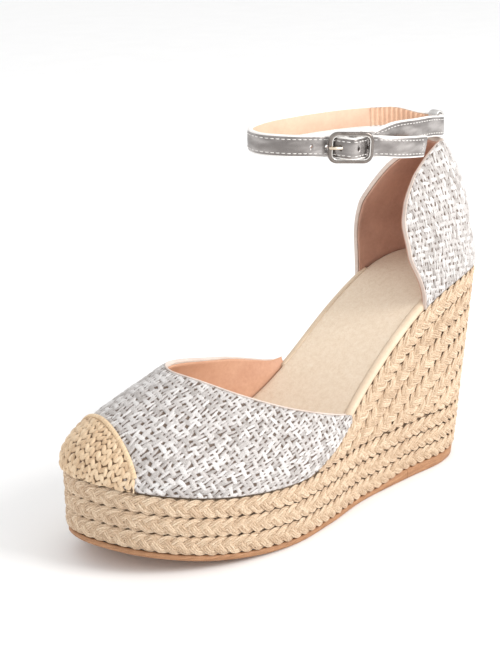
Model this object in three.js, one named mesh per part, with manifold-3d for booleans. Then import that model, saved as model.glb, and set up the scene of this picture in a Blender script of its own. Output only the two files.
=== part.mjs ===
// Wedge-heel espadrille sandal for the left foot, as separate pieces. Millimetres, +Z up, +X towards the toe,
// +Y towards the outer side of the foot. Pieces are drawn from the back of the heel and the floor, and the whole
// sandal is centred over the origin at the end.
import * as THREE from 'three';
import Module from 'manifold-3d';
import { mergeVertices } from 'three/addons/utils/BufferGeometryUtils.js';

const wasm = await Module();
wasm.setup();

// Overall sizes
const SHOE_LENGTH = 232;
const FOREFOOT_WIDTH = 83.7;
const HEEL_WIDTH = 53.6;
const WEDGE_HEIGHT = 92;
const PLATFORM_HEIGHT = 27.8;
const FIT_GAP = 0.3;

// Sole
const OUTSOLE_THICKNESS = 3;
const HEEL_LIFT_THICKNESS = 5.5;
const HEEL_LIFT_LENGTH = 50;
const LIFT_RAMP_LENGTH = 24;
const TOE_SPRING = 11.8;
const TOE_SPRING_LENGTH = 88;
const HEEL_LEAN = 16.7;
const HEEL_LEAN_LENGTH = 81;
const WEDGE_FALL_LENGTH = 149;
const WEDGE_FALL_POWER = 1.27;
const SOLE_INSET = 1.2;

// Braided rows round the platform and the wedge
const PLATFORM_ROWS = 3;
const WEDGE_ROWS = 7;
const BRAID_THICKNESS = 4.2;
const BRAID_ROUNDING = 0.9;
const BRAID_TIP_HEIGHT = 1.4;

// Insole stack
const BOARD_THICKNESS = 2;
const FOAM_THICKNESS = 1.6;
const SOCK_THICKNESS = 1;
const SOCK_INSET = 4.3;
const INSOLE_BINDING_THICKNESS = 2.2;
const SHANK_WIDTH = 12;
const SHANK_THICKNESS = 1.5;
const SHANK_BACK = 26;
const SHANK_FRONT = 128;

// Upper layers
const FABRIC_THICKNESS = 1.2;
const INTERLINING_THICKNESS = 0.6;
const LINING_THICKNESS = 0.7;
const LAYER_GAP = 0.25;
const UPPER_INSET = 0.3;
const UPPER_SEAT = 0.5;
const EDGE_BINDING_HEIGHT = 1.2;
const CAP_LENGTH = 14.4;
const CAP_SKEW = THREE.MathUtils.degToRad(-13);
const CAP_PROUD = 0.9;
const CAP_CORD_RADIUS = 1;
const PUFF_LENGTH = 27;
const VAMP_REAR_OUTER_FROM_TOE = 122;
const VAMP_REAR_INNER_FROM_TOE = 135;
const COUNTER_FRONT_OUTER = 54;
const COUNTER_FRONT_INNER = 45;
const COUNTER_TOP = 151.6;

// Ankle strap and buckle
const STRAP_HEIGHT = 9.1;
const STRAP_FACE_THICKNESS = 1.1;
const STRAP_LINING_THICKNESS = 0.8;
const STRAP_TIP_SLANT = 3;
const STRAP_HOLE_RADIUS = 0.8;
const STRAP_HOLE_PITCH = 7.3;
const LOOP_WIDTH = 5.4;
const LOOP_THICKNESS = 1.2;
const LOOP_HOLE_WIDTH = 3.6;
const LOOP_ROOM = 0.9;
const LOOP_HOLE_HEIGHT = STRAP_HEIGHT + 2 * LOOP_ROOM;
const BUCKLE_LENGTH = 21;
const BUCKLE_WIRE_RADIUS = 1.05;
const BUCKLE_ROOM = 0.35;
const BUCKLE_HEIGHT = STRAP_HEIGHT + 2 * BUCKLE_ROOM + 4 * BUCKLE_WIRE_RADIUS;
const BUCKLE_CORNER_RADIUS = 3.4;
const CENTRE_BAR_RADIUS = 0.8;
const PRONG_RADIUS = 0.75;
const PRONG_CLEARANCE = 0.45;
const PRONG_LIFT = THREE.MathUtils.degToRad(12);
const BUCKLE_ROCK = THREE.MathUtils.degToRad(1.5);
const FOLD_THICKNESS = 0.7;
const HINGE_GAP = 0.2;

const UP = new THREE.Vector3(0, 0, 1);
const { clamp, lerp, smoothstep } = THREE.MathUtils;

// ---- curves that the whole sandal shares ----

// Plan outline: share of the length, and side distance as a share of the width scale. Heel back, outer side,
// toe tip, inner side.
const OUTLINE_SHARES = [
  [0, 0], [0.012, 0.05], [0.05, 0.098], [0.13, 0.125], [0.26, 0.13], [0.42, 0.14], [0.55, 0.17], [0.67, 0.188],
  [0.79, 0.174], [0.89, 0.132], [0.965, 0.06], [1, -0.035], [0.975, -0.115], [0.9, -0.165], [0.8, -0.183],
  [0.7, -0.175], [0.58, -0.145], [0.44, -0.116], [0.28, -0.113], [0.13, -0.115], [0.05, -0.094], [0.012, -0.05],
];
const FOREFOOT_SHARES = 0.371;
const HEEL_SHARES = 0.243;

function widthScale(share) {
  const heel = HEEL_WIDTH / HEEL_SHARES;
  const forefoot = FOREFOOT_WIDTH / FOREFOOT_SHARES;
  return lerp(heel, forefoot, smoothstep(share, 0.2, 0.6));
}

const outline = new THREE.CatmullRomCurve3(
  OUTLINE_SHARES.map(([along, across]) => new THREE.Vector3(along * SHOE_LENGTH, across * widthScale(along), 0)),
  true,
  'catmullrom',
  0.5,
);
outline.arcLengthDivisions = 800;

function findToeParameter() {
  let best = 0;
  for (let i = 0; i <= 400; i += 1) {
    if (outline.getPointAt(i / 400).x > outline.getPointAt(best).x) best = i / 400;
  }
  return best;
}
const TOE_PARAMETER = findToeParameter();

// Where the outline passes a given distance from the heel, on the outer (+1) or inner (-1) side.
function sideParameter(x, side) {
  let back = side > 0 ? 0 : 1;
  let front = TOE_PARAMETER;
  for (let i = 0; i < 40; i += 1) {
    const middle = (back + front) / 2;
    if (outline.getPointAt(middle).x < x) back = middle;
    else front = middle;
  }
  return (back + front) / 2;
}

function toeSpring(x) {
  const share = clamp((x - (SHOE_LENGTH - TOE_SPRING_LENGTH)) / TOE_SPRING_LENGTH, 0, 1.1);
  return TOE_SPRING * share * share;
}

// Underside of the braid: on the outsole in front and on the thicker heel lift behind.
function braidBase(x) {
  const front = HEEL_LEAN + HEEL_LIFT_LENGTH;
  const ramp = smoothstep(x, front, front + LIFT_RAMP_LENGTH);
  return lerp(HEEL_LIFT_THICKNESS, OUTSOLE_THICKNESS, ramp) + toeSpring(x);
}

// Top of the braid, which the insole and the upper sit on.
function braidTop(x) {
  const share = clamp(x / WEDGE_FALL_LENGTH, 0, 1);
  const fall = 0.5 + 0.5 * Math.cos(Math.PI * share ** WEDGE_FALL_POWER);
  return lerp(PLATFORM_HEIGHT, WEDGE_HEIGHT, fall) + toeSpring(x);
}

// The wedge's back leans: the heel moves forward towards the floor.
function lean(x, z) {
  const back = clamp(1 - x / HEEL_LEAN_LENGTH, 0, 1);
  return HEEL_LEAN * back * clamp(1 - z / WEDGE_HEIGHT, 0, 1);
}

// A point on the outline, moved inward, with its height from a function of its own distance from the heel.
function outlinePoint(parameter, inward, heightAt) {
  const u = ((parameter % 1) + 1) % 1;
  const point = outline.getPointAt(u);
  const tangent = outline.getTangentAt(u);
  const x = point.x + tangent.y * inward;
  const y = point.y - tangent.x * inward;
  let z = heightAt(x);
  z = heightAt(x + lean(x, z));
  return new THREE.Vector3(x + lean(x, z), y, z);
}

// ---- solids ----

function geometryFrom(points, triangles) {
  const geometry = new THREE.BufferGeometry();
  const positions = new Float32Array(points.flatMap((p) => [p.x, p.y, p.z]));
  geometry.setAttribute('position', new THREE.BufferAttribute(positions, 3));
  const insideOut = signedVolume(points, triangles) < 0;
  geometry.setIndex(triangles.flatMap(([a, b, c]) => (insideOut ? [a, c, b] : [a, b, c])));
  return geometry;
}

function signedVolume(points, triangles) {
  const normal = new THREE.Vector3();
  let total = 0;
  for (const [a, b, c] of triangles) {
    normal.crossVectors(points[b], points[c]);
    total += points[a].dot(normal);
  }
  return total;
}

// Rings of equal count joined in order. A closed loft joins the last ring to the first, an open one is capped.
function loft(rings, closed = false) {
  const count = rings[0].length;
  const points = rings.flat();
  const triangles = [];
  const spans = closed ? rings.length : rings.length - 1;
  for (let i = 0; i < spans; i += 1) {
    const here = i * count;
    const next = ((i + 1) % rings.length) * count;
    for (let j = 0; j < count; j += 1) {
      const k = (j + 1) % count;
      triangles.push([here + j, next + j, next + k], [here + j, next + k, here + k]);
    }
  }
  if (!closed) {
    const last = (rings.length - 1) * count;
    for (let j = 1; j < count - 1; j += 1) {
      triangles.push([0, j, j + 1], [last, last + j + 1, last + j]);
    }
  }
  return geometryFrom(points, triangles);
}

// A full-outline plate between two height functions.
function plate(inward, bottomAt, topAt, steps = 52) {
  const bottom = [];
  const top = [];
  for (let i = 0; i < steps; i += 1) {
    bottom.push(outlinePoint(i / steps, inward, bottomAt));
    top.push(outlinePoint(i / steps, inward, topAt));
  }
  const points = [...bottom, ...top];
  const triangles = [];
  for (let i = 0; i < steps; i += 1) {
    const next = (i + 1) % steps;
    triangles.push([i, next, steps + next], [i, steps + next, steps + i]);
  }
  for (let i = 0; i < steps / 2; i += 1) {
    const left = i;
    const leftNext = i + 1;
    const right = (steps - i) % steps;
    const rightNext = steps - i - 1;
    if (left !== right) addFloorAndRoof(triangles, steps, left, right, rightNext);
    if (leftNext !== rightNext) addFloorAndRoof(triangles, steps, left, rightNext, leftNext);
  }
  return geometryFrom(points, triangles);
}

function addFloorAndRoof(triangles, steps, a, b, c) {
  triangles.push([a, b, c], [steps + a, steps + c, steps + b]);
}

function toManifold(geometry) {
  const bare = geometry.clone();
  bare.deleteAttribute('normal');
  bare.deleteAttribute('uv');
  const merged = mergeVertices(bare, 1e-4);
  const mesh = new wasm.Mesh({
    numProp: 3,
    vertProperties: new Float32Array(merged.attributes.position.array),
    triVerts: new Uint32Array(merged.index.array),
  });
  return new wasm.Manifold(mesh);
}

function fromManifold(solid) {
  const mesh = solid.getMesh();
  const geometry = new THREE.BufferGeometry();
  geometry.setAttribute('position', new THREE.BufferAttribute(mesh.vertProperties, 3));
  geometry.setIndex(new THREE.BufferAttribute(mesh.triVerts, 1));
  return geometry;
}

function cutAway(geometry, ...tools) {
  return fromManifold(tools.reduce((solid, tool) => solid.subtract(toManifold(tool)), toManifold(geometry)));
}

function keepInside(geometry, tool) {
  return fromManifold(toManifold(geometry).intersect(toManifold(tool)));
}

function joinSolids(geometry, ...others) {
  return fromManifold(others.reduce((solid, other) => solid.add(toManifold(other)), toManifold(geometry)));
}

function boxBetween(low, high) {
  const size = new THREE.Vector3().subVectors(high, low);
  const centre = new THREE.Vector3().addVectors(high, low).multiplyScalar(0.5);
  return new THREE.BoxGeometry(size.x, size.y, size.z).translate(centre.x, centre.y, centre.z);
}

// A straight round rod between two points.
function rod(start, end, radius, sides = 10) {
  const axis = new THREE.Vector3().subVectors(end, start);
  const turn = new THREE.Quaternion().setFromUnitVectors(new THREE.Vector3(0, 1, 0), axis.clone().normalize());
  const middle = new THREE.Vector3().addVectors(start, end).multiplyScalar(0.5);
  return new THREE.CylinderGeometry(radius, radius, axis.length(), sides)
    .applyQuaternion(turn)
    .translate(middle.x, middle.y, middle.z);
}

// ---- sole pieces ----

function wholeOutsole() {
  return plate(SOLE_INSET, toeSpring, (x) => braidBase(x) - FIT_GAP);
}

const LIFT_FRONT = HEEL_LEAN + HEEL_LIFT_LENGTH;
const CUT_REACH = 300;

function makeOutsole() {
  const low = new THREE.Vector3(-CUT_REACH, -CUT_REACH, -CUT_REACH);
  const high = new THREE.Vector3(LIFT_FRONT + FIT_GAP, CUT_REACH, CUT_REACH);
  return cutAway(wholeOutsole(), boxBetween(low, high));
}

function makeHeelLift() {
  const low = new THREE.Vector3(LIFT_FRONT, -CUT_REACH, -CUT_REACH);
  const high = new THREE.Vector3(SHOE_LENGTH + CUT_REACH, CUT_REACH, CUT_REACH);
  return cutAway(wholeOutsole(), boxBetween(low, high));
}

function boardBottom(x) {
  return braidTop(x) - BOARD_THICKNESS;
}

function shankStrip(halfWidth, extraLength, bottomAt, topAt) {
  const rings = [];
  const steps = 16;
  for (let i = 0; i <= steps; i += 1) {
    const x = lerp(SHANK_BACK - extraLength, SHANK_FRONT + extraLength, i / steps);
    rings.push([
      new THREE.Vector3(x, -halfWidth, bottomAt(x)),
      new THREE.Vector3(x, halfWidth, bottomAt(x)),
      new THREE.Vector3(x, halfWidth, topAt(x)),
      new THREE.Vector3(x, -halfWidth, topAt(x)),
    ]);
  }
  return loft(rings);
}

function makeShank() {
  const topAt = (x) => boardBottom(x) - FIT_GAP;
  return shankStrip(SHANK_WIDTH / 2, 0, (x) => topAt(x) - SHANK_THICKNESS, topAt);
}

function makeWedgeCore() {
  const core = plate(BRAID_THICKNESS + 2 * FIT_GAP, braidBase, (x) => boardBottom(x) - FIT_GAP);
  const grooveBottom = (x) => boardBottom(x) - SHANK_THICKNESS - 2 * FIT_GAP;
  const grooveTop = (x) => braidTop(x) + BOARD_THICKNESS;
  const groove = shankStrip(SHANK_WIDTH / 2 + FIT_GAP, FIT_GAP, grooveBottom, grooveTop);
  return cutAway(core, groove);
}

// One section of braid between two heights on the outline: flat inside, rounded outside.
function braidSection(parameter, bottomAt, topAt) {
  const middleAt = (x) => (bottomAt(x) + topAt(x)) / 2;
  return [
    outlinePoint(parameter, BRAID_THICKNESS, bottomAt),
    outlinePoint(parameter, BRAID_ROUNDING, bottomAt),
    outlinePoint(parameter, 0, middleAt),
    outlinePoint(parameter, BRAID_ROUNDING, topAt),
    outlinePoint(parameter, BRAID_THICKNESS, topAt),
  ];
}

function makePlatformRow(row) {
  const platformTop = (x) => PLATFORM_HEIGHT + toeSpring(x);
  const levelAt = (x, level) => lerp(braidBase(x), platformTop(x), level / PLATFORM_ROWS);
  const rings = [];
  const steps = 46;
  for (let i = 0; i < steps; i += 1) {
    const section = braidSection(i / steps, (x) => levelAt(x, row), (x) => levelAt(x, row + 1) - FIT_GAP);
    rings.push(section);
  }
  return loft(rings, true);
}

// Height of the line that runs a set distance below the braid's top edge, measured square to that edge.
const WEDGE_ROW_WIDTH = (WEDGE_HEIGHT - PLATFORM_HEIGHT) / WEDGE_ROWS;

function parallelLine(distance) {
  const points = [];
  for (let x = -10; x <= WEDGE_FALL_LENGTH + 60; x += 1) {
    const slope = braidTop(x + 0.5) - braidTop(x - 0.5);
    const length = Math.hypot(1, slope);
    points.push([x + (distance * slope) / length, braidTop(x) - distance / length]);
  }
  return (x) => {
    let i = 1;
    while (i < points.length - 1 && points[i][0] < x) i += 1;
    const [x0, z0] = points[i - 1];
    const [x1, z1] = points[i];
    return lerp(z0, z1, clamp((x - x0) / (x1 - x0), 0, 1));
  };
}

function makeWedgeRow(row) {
  const upper = parallelLine(row * WEDGE_ROW_WIDTH);
  const lower = parallelLine((row + 1) * WEDGE_ROW_WIDTH);
  const topAt = (x) => upper(x) - (row === 0 ? 0 : FIT_GAP);
  const bottomAt = (x) => Math.max(lower(x), PLATFORM_HEIGHT);
  const heightFrom = (x) => {
    const leaned = x + lean(x, PLATFORM_HEIGHT);
    return topAt(leaned) - bottomAt(leaned);
  };
  let reach = 0;
  while (heightFrom(reach) > BRAID_TIP_HEIGHT && reach < WEDGE_FALL_LENGTH) reach += 0.5;
  const start = sideParameter(reach, -1) - 1;
  const end = sideParameter(reach, 1);
  const rings = [];
  const steps = 28;
  for (let i = 0; i <= steps; i += 1) {
    rings.push(braidSection(lerp(start, end, i / steps), bottomAt, topAt));
  }
  return loft(rings);
}

// ---- insole ----

function makeInsoleBoard() {
  return plate(BRAID_THICKNESS + 2 * FIT_GAP, boardBottom, braidTop);
}

const FOAM_LEVEL = FIT_GAP;
const SOCK_LEVEL = FOAM_LEVEL + FOAM_THICKNESS + FIT_GAP;
const SOCK_TOP_LEVEL = SOCK_LEVEL + SOCK_THICKNESS;

function makeInsoleFoam() {
  return plate(SOCK_INSET, (x) => braidTop(x) + FOAM_LEVEL, (x) => braidTop(x) + FOAM_LEVEL + FOAM_THICKNESS);
}

function makeSockLining() {
  return plate(SOCK_INSET, (x) => braidTop(x) + SOCK_LEVEL, (x) => braidTop(x) + SOCK_TOP_LEVEL);
}

// The strip that wraps the insole's edge between the heel cup and the vamp.
function makeInsoleBinding(side) {
  const back = side > 0 ? COUNTER_FRONT_OUTER : COUNTER_FRONT_INNER;
  const front = SHOE_LENGTH - (side > 0 ? VAMP_REAR_OUTER_FROM_TOE : VAMP_REAR_INNER_FROM_TOE);
  const start = sideParameter(back + 2 * FIT_GAP, side);
  const end = sideParameter(front - 2 * FIT_GAP, side);
  const inner = SOCK_INSET - FIT_GAP;
  const outer = inner - INSOLE_BINDING_THICKNESS;
  const rings = [];
  const steps = 10;
  for (let i = 0; i <= steps; i += 1) {
    const parameter = lerp(start, end, i / steps);
    rings.push([
      outlinePoint(parameter, inner, (x) => braidTop(x) + FIT_GAP),
      outlinePoint(parameter, outer, (x) => braidTop(x) + FIT_GAP),
      outlinePoint(parameter, outer, (x) => braidTop(x) + SOCK_TOP_LEVEL - INSOLE_BINDING_THICKNESS / 3),
      outlinePoint(parameter, inner, (x) => braidTop(x) + SOCK_TOP_LEVEL),
    ]);
  }
  return loft(rings);
}

// ---- shells ----

// Surface normals of a grid of points, pointing away from the foot.
function gridNormals(grid) {
  const rows = grid.length;
  const columns = grid[0].length;
  return grid.map((row, i) => row.map((point, j) => {
    const ahead = grid[Math.min(i + 1, rows - 1)][j];
    const along = new THREE.Vector3().subVectors(ahead, grid[Math.max(i - 1, 0)][j]);
    const across = new THREE.Vector3().subVectors(row[Math.min(j + 1, columns - 1)], row[Math.max(j - 1, 0)]);
    return new THREE.Vector3().crossVectors(across, along).normalize();
  }));
}

function offsetGrid(grid, distance) {
  const normals = gridNormals(grid);
  return grid.map((row, i) => row.map((point, j) => point.clone().addScaledVector(normals[i][j], distance)));
}

// A closed shell between two grids of the same size.
function shell(outer, inner) {
  const rows = outer.length;
  const columns = outer[0].length;
  const points = [...outer.flat(), ...inner.flat()];
  const size = rows * columns;
  const at = (i, j) => i * columns + j;
  const triangles = [];
  for (let i = 0; i < rows - 1; i += 1) {
    for (let j = 0; j < columns - 1; j += 1) {
      const a = at(i, j);
      const b = at(i + 1, j);
      const c = at(i + 1, j + 1);
      const d = at(i, j + 1);
      triangles.push([a, b, c], [a, c, d], [size + a, size + c, size + b], [size + a, size + d, size + c]);
    }
  }
  const rim = [];
  for (let i = 0; i < rows - 1; i += 1) rim.push(at(i, 0));
  for (let j = 0; j < columns - 1; j += 1) rim.push(at(rows - 1, j));
  for (let i = rows - 1; i > 0; i -= 1) rim.push(at(i, columns - 1));
  for (let j = columns - 1; j > 0; j -= 1) rim.push(at(0, j));
  rim.forEach((a, i) => {
    const b = rim[(i + 1) % rim.length];
    triangles.push([b, a, size + a], [b, size + a, size + b]);
  });
  return geometryFrom(points, triangles);
}

// A layer of the upper: a stretch of depth measured inward from its outer face.
function layer(grid, outerDepth, thickness) {
  return shell(offsetGrid(grid, -outerDepth), offsetGrid(grid, -outerDepth - thickness));
}

const INTERLINING_DEPTH = FABRIC_THICKNESS + LAYER_GAP;
const LINING_DEPTH = INTERLINING_DEPTH + INTERLINING_THICKNESS + LAYER_GAP;
const UPPER_THICKNESS = LINING_DEPTH + LINING_THICKNESS;

// A band that caps a stack of layers along one edge. The samples give the outer face's edge, the surface normal
// and the direction in which the edge faces.
function edgeBand(samples) {
  const rings = samples.map(({ point, normal, facing }) => {
    const low = point.clone().addScaledVector(facing, FIT_GAP);
    const high = low.clone().addScaledVector(facing, EDGE_BINDING_HEIGHT);
    return [
      low,
      low.clone().addScaledVector(normal, -UPPER_THICKNESS),
      high.clone().addScaledVector(normal, -UPPER_THICKNESS * 0.8),
      high.clone().addScaledVector(normal, -UPPER_THICKNESS * 0.2),
    ];
  });
  return loft(rings);
}

// ---- vamp and toe cap ----

// Topline of the vamp from its outer rear corner round the throat to its inner rear corner: distance back from the
// toe tip, side distance, and height above the braid's top there.
const TOPLINE = [
  [VAMP_REAR_OUTER_FROM_TOE, 33, 2.6], [107, 34.5, 16], [86, 31, 29.5], [68, 22, 37], [55, 8, 43], [50.5, -6, 45],
  [58, -18, 44.6], [72.5, -25.5, 42], [89.5, -31, 37], [106.6, -32, 27.5], [119.6, -30, 16.5], [128, -28, 8.5],
  [VAMP_REAR_INNER_FROM_TOE, -26.6, 2.8],
];
const topline = new THREE.CatmullRomCurve3(
  TOPLINE.map(([back, side, height]) => {
    const x = SHOE_LENGTH - back;
    return new THREE.Vector3(x, side, braidTop(x) + height);
  }),
  false,
  'catmullrom',
  0.5,
);

const VAMP_START = sideParameter(SHOE_LENGTH - VAMP_REAR_OUTER_FROM_TOE, 1);
const VAMP_END = sideParameter(SHOE_LENGTH - VAMP_REAR_INNER_FROM_TOE, -1);
const WALL_RISE = 0.43;
const WALL_BULGE = 0.06;
const CROWN_REACH = 0.6;
const CROWN_DROP = 0.4;

// A point of the vamp's outer face: t runs round the foot from the outer rear corner, q up from the sole.
function vampPoint(t, q) {
  const foot = outlinePoint(lerp(VAMP_START, VAMP_END, t), UPPER_INSET, (x) => braidTop(x) + UPPER_SEAT);
  const top = topline.getPointAt(t);
  const rise = top.z - foot.z;
  const reach = new THREE.Vector3(foot.x - top.x, foot.y - top.y, 0);
  const wall = foot.clone().addScaledVector(UP, rise * WALL_RISE).addScaledVector(reach, WALL_BULGE);
  const crown = top.clone().addScaledVector(reach, CROWN_REACH).addScaledVector(UP, -rise * CROWN_DROP);
  return new THREE.CubicBezierCurve3(foot, wall, crown, top).getPoint(q);
}

const VAMP_COLUMNS = 28;
const VAMP_ROWS = 7;

function makeVampGrid() {
  const grid = [];
  for (let i = 0; i <= VAMP_COLUMNS; i += 1) {
    const row = [];
    for (let j = 0; j <= VAMP_ROWS; j += 1) row.push(vampPoint(i / VAMP_COLUMNS, j / VAMP_ROWS));
    grid.push(row);
  }
  return grid;
}
const vampGrid = makeVampGrid();

// The space in front of a skewed upright plane that lies a set distance back from the toe tip.
function toeSpace(length) {
  return new THREE.BoxGeometry(CUT_REACH, CUT_REACH, CUT_REACH)
    .translate(CUT_REACH / 2, 0, 0)
    .rotateZ(CAP_SKEW)
    .translate(SHOE_LENGTH - length, 0, 0);
}

function makeVampOuter() {
  return cutAway(layer(vampGrid, 0, FABRIC_THICKNESS), toeSpace(CAP_LENGTH + FIT_GAP));
}

function makeToeCap() {
  return keepInside(layer(vampGrid, -CAP_PROUD, FABRIC_THICKNESS + CAP_PROUD), toeSpace(CAP_LENGTH));
}

function makeVampInterlining() {
  return cutAway(layer(vampGrid, INTERLINING_DEPTH, INTERLINING_THICKNESS), toeSpace(PUFF_LENGTH + FIT_GAP));
}

function makeToePuff() {
  return keepInside(layer(vampGrid, INTERLINING_DEPTH, INTERLINING_THICKNESS), toeSpace(PUFF_LENGTH));
}

function makeVampLining() {
  return layer(vampGrid, LINING_DEPTH, LINING_THICKNESS);
}

// How far a point lies in front of the cap's seam plane.
function aheadOfSeam(point) {
  const fromSeam = point.x - (SHOE_LENGTH - CAP_LENGTH);
  return fromSeam * Math.cos(CAP_SKEW) + point.y * Math.sin(CAP_SKEW);
}

// Where the line of constant t crosses the seam plane, or null where it doesn't.
function seamPoint(t) {
  if (aheadOfSeam(vampPoint(t, 0)) <= 0) return null;
  let low = 0;
  let high = 1;
  for (let i = 0; i < 30; i += 1) {
    const middle = (low + high) / 2;
    if (aheadOfSeam(vampPoint(t, middle)) > 0) low = middle;
    else high = middle;
  }
  return low;
}

// The cord that finishes the cap's rear edge, lying on the vamp just behind the cap.
function makeToeCapEdging() {
  const rings = [];
  const steps = 60;
  const backward = new THREE.Vector3(-Math.cos(CAP_SKEW), -Math.sin(CAP_SKEW), 0);
  const small = 0.01;
  for (let i = 0; i <= steps; i += 1) {
    const t = i / steps;
    const q = seamPoint(t);
    if (q === null || q < CAP_CORD_RADIUS * small * 3) continue;
    const along = vampPoint(t + small, q).sub(vampPoint(t - small, q));
    const up = vampPoint(t, q + small).sub(vampPoint(t, q - small));
    const normal = new THREE.Vector3().crossVectors(up, along).normalize();
    const across = backward.clone().addScaledVector(normal, -backward.dot(normal)).normalize();
    const rest = CAP_CORD_RADIUS + 1.5 * FIT_GAP;
    const centre = vampPoint(t, q).addScaledVector(normal, rest).addScaledVector(across, rest);
    rings.push(circlePoints(centre, across, normal, CAP_CORD_RADIUS, 8));
  }
  return loft(rings);
}

function circlePoints(centre, right, up, radius, sides) {
  const ring = [];
  for (let i = 0; i < sides; i += 1) {
    const angle = (i / sides) * 2 * Math.PI;
    const point = centre.clone().addScaledVector(right, radius * Math.cos(angle));
    ring.push(point.addScaledVector(up, radius * Math.sin(angle)));
  }
  return ring;
}

function makeVampBinding() {
  const normals = gridNormals(vampGrid);
  const samples = [];
  for (let i = 2; i <= VAMP_COLUMNS - 2; i += 1) {
    const point = vampGrid[i][VAMP_ROWS];
    const facing = new THREE.Vector3().subVectors(point, vampGrid[i][VAMP_ROWS - 1]).normalize();
    samples.push({ point, normal: normals[i][VAMP_ROWS], facing });
  }
  return edgeBand(samples);
}

// ---- heel cup ----

const COUNTER_ROOT_BLEND = 0.38;
const COUNTER_ROUNDING = 0.62;

// Heel cup sections from its foot to its tip: share of the height, back, outer front, inner front, outer side
// distance and inner side distance.
const COUNTER_SECTIONS = [
  [0, 0, COUNTER_FRONT_OUTER, COUNTER_FRONT_INNER, 27, -26],
  [0.33, 0.5, 61, 46.5, 25, -25],
  [0.54, 1.5, 61.5, 47, 21.5, -22],
  [0.69, 3.8, 56.5, 44, 17.5, -17.5],
  [0.84, 7.5, 44.5, 37, 12.5, -12.5],
  [0.94, 11.4, 31, 27, 8.5, -8.5],
  [1, 14.6, 20.4, 20, 6, -6],
];
const counterShape = new THREE.CatmullRomCurve3(
  COUNTER_SECTIONS.map(([, back, outer, inner]) => new THREE.Vector3(back, outer, inner)),
);
const counterSides = new THREE.CatmullRomCurve3(
  COUNTER_SECTIONS.map(([share, , , , outer, inner]) => new THREE.Vector3(share, outer, inner)),
);

function counterSectionAt(q) {
  let low = 0;
  let high = 1;
  for (let i = 0; i < 30; i += 1) {
    const middle = (low + high) / 2;
    if (counterSides.getPoint(middle).x < q) low = middle;
    else high = middle;
  }
  const shape = counterShape.getPoint(low);
  const sides = counterSides.getPoint(low);
  return { back: shape.x, outer: shape.y, inner: shape.z, outerSide: sides.y, innerSide: sides.z };
}

function counterPoint(t, q) {
  const start = sideParameter(COUNTER_FRONT_OUTER, 1);
  const end = sideParameter(COUNTER_FRONT_INNER, -1) - 1;
  const foot = outlinePoint(lerp(start, end, t), UPPER_INSET, (x) => braidTop(x) + UPPER_SEAT);
  const section = counterSectionAt(q);
  const angle = Math.PI * t;
  const front = lerp(section.outer, section.inner, t);
  const x = front - (front - section.back) * Math.sin(angle) ** COUNTER_ROUNDING;
  const y = lerp(section.innerSide, section.outerSide, 0.5 + 0.5 * Math.cos(angle));
  const blend = smoothstep(q, 0, COUNTER_ROOT_BLEND);
  const z = lerp(foot.z, COUNTER_TOP, q);
  return new THREE.Vector3(lerp(foot.x, x, blend), lerp(foot.y, y, blend), z);
}

const COUNTER_COLUMNS = 18;
const COUNTER_ROWS = 8;

// Runs from the inner front edge to the outer one, so that its layers go inward like the vamp's.
function makeCounterGrid() {
  const grid = [];
  for (let i = 0; i <= COUNTER_COLUMNS; i += 1) {
    const row = [];
    const t = 1 - i / COUNTER_COLUMNS;
    for (let j = 0; j <= COUNTER_ROWS; j += 1) row.push(counterPoint(t, j / COUNTER_ROWS));
    grid.push(row);
  }
  return grid;
}
const counterGrid = makeCounterGrid();

function makeCounterOuter() {
  return layer(counterGrid, 0, FABRIC_THICKNESS);
}

function makeHeelStiffener() {
  return layer(counterGrid, INTERLINING_DEPTH, INTERLINING_THICKNESS);
}

function makeCounterLining() {
  return layer(counterGrid, LINING_DEPTH, LINING_THICKNESS);
}

// A band up one front edge of the heel cup.
function makeCounterBinding(side) {
  const edge = side > 0 ? COUNTER_COLUMNS : 0;
  const beside = side > 0 ? COUNTER_COLUMNS - 1 : 1;
  const normals = gridNormals(counterGrid);
  const samples = [];
  for (let j = 1; j < COUNTER_ROWS; j += 1) {
    const point = counterGrid[edge][j];
    const facing = new THREE.Vector3().subVectors(point, counterGrid[beside][j]).normalize();
    samples.push({ point, normal: normals[edge][j], facing });
  }
  return edgeBand(samples);
}

// ---- heel loop ----

const LOOP_X = 16.6;
const LOOP_BOTTOM = COUNTER_TOP + FIT_GAP;
const LOOP_HINGE_Z = LOOP_BOTTOM + LOOP_THICKNESS + LOOP_HOLE_WIDTH / 2;
const STRAP_AT_LOOP_Z = LOOP_BOTTOM + LOOP_THICKNESS + LOOP_HOLE_HEIGHT / 2;

// An upright slot-shaped ring.
function slotOutline(path, halfWidth, height) {
  const straight = height / 2 - halfWidth;
  path.moveTo(halfWidth, -straight);
  path.lineTo(halfWidth, straight);
  path.absarc(0, straight, halfWidth, 0, Math.PI, false);
  path.lineTo(-halfWidth, -straight);
  path.absarc(0, -straight, halfWidth, Math.PI, 2 * Math.PI, false);
  return path;
}

function makeHeelLoop() {
  const halfHole = LOOP_HOLE_WIDTH / 2;
  const outerHeight = LOOP_HOLE_HEIGHT + 2 * LOOP_THICKNESS;
  const shape = slotOutline(new THREE.Shape(), halfHole + LOOP_THICKNESS, outerHeight);
  shape.holes.push(slotOutline(new THREE.Path(), halfHole, LOOP_HOLE_HEIGHT));
  return new THREE.ExtrudeGeometry(shape, { depth: LOOP_WIDTH, bevelEnabled: false, curveSegments: 6 })
    .translate(0, 0, -LOOP_WIDTH / 2)
    .rotateX(Math.PI / 2)
    .translate(LOOP_X, 0, STRAP_AT_LOOP_Z);
}

// ---- ankle strap ----

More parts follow.
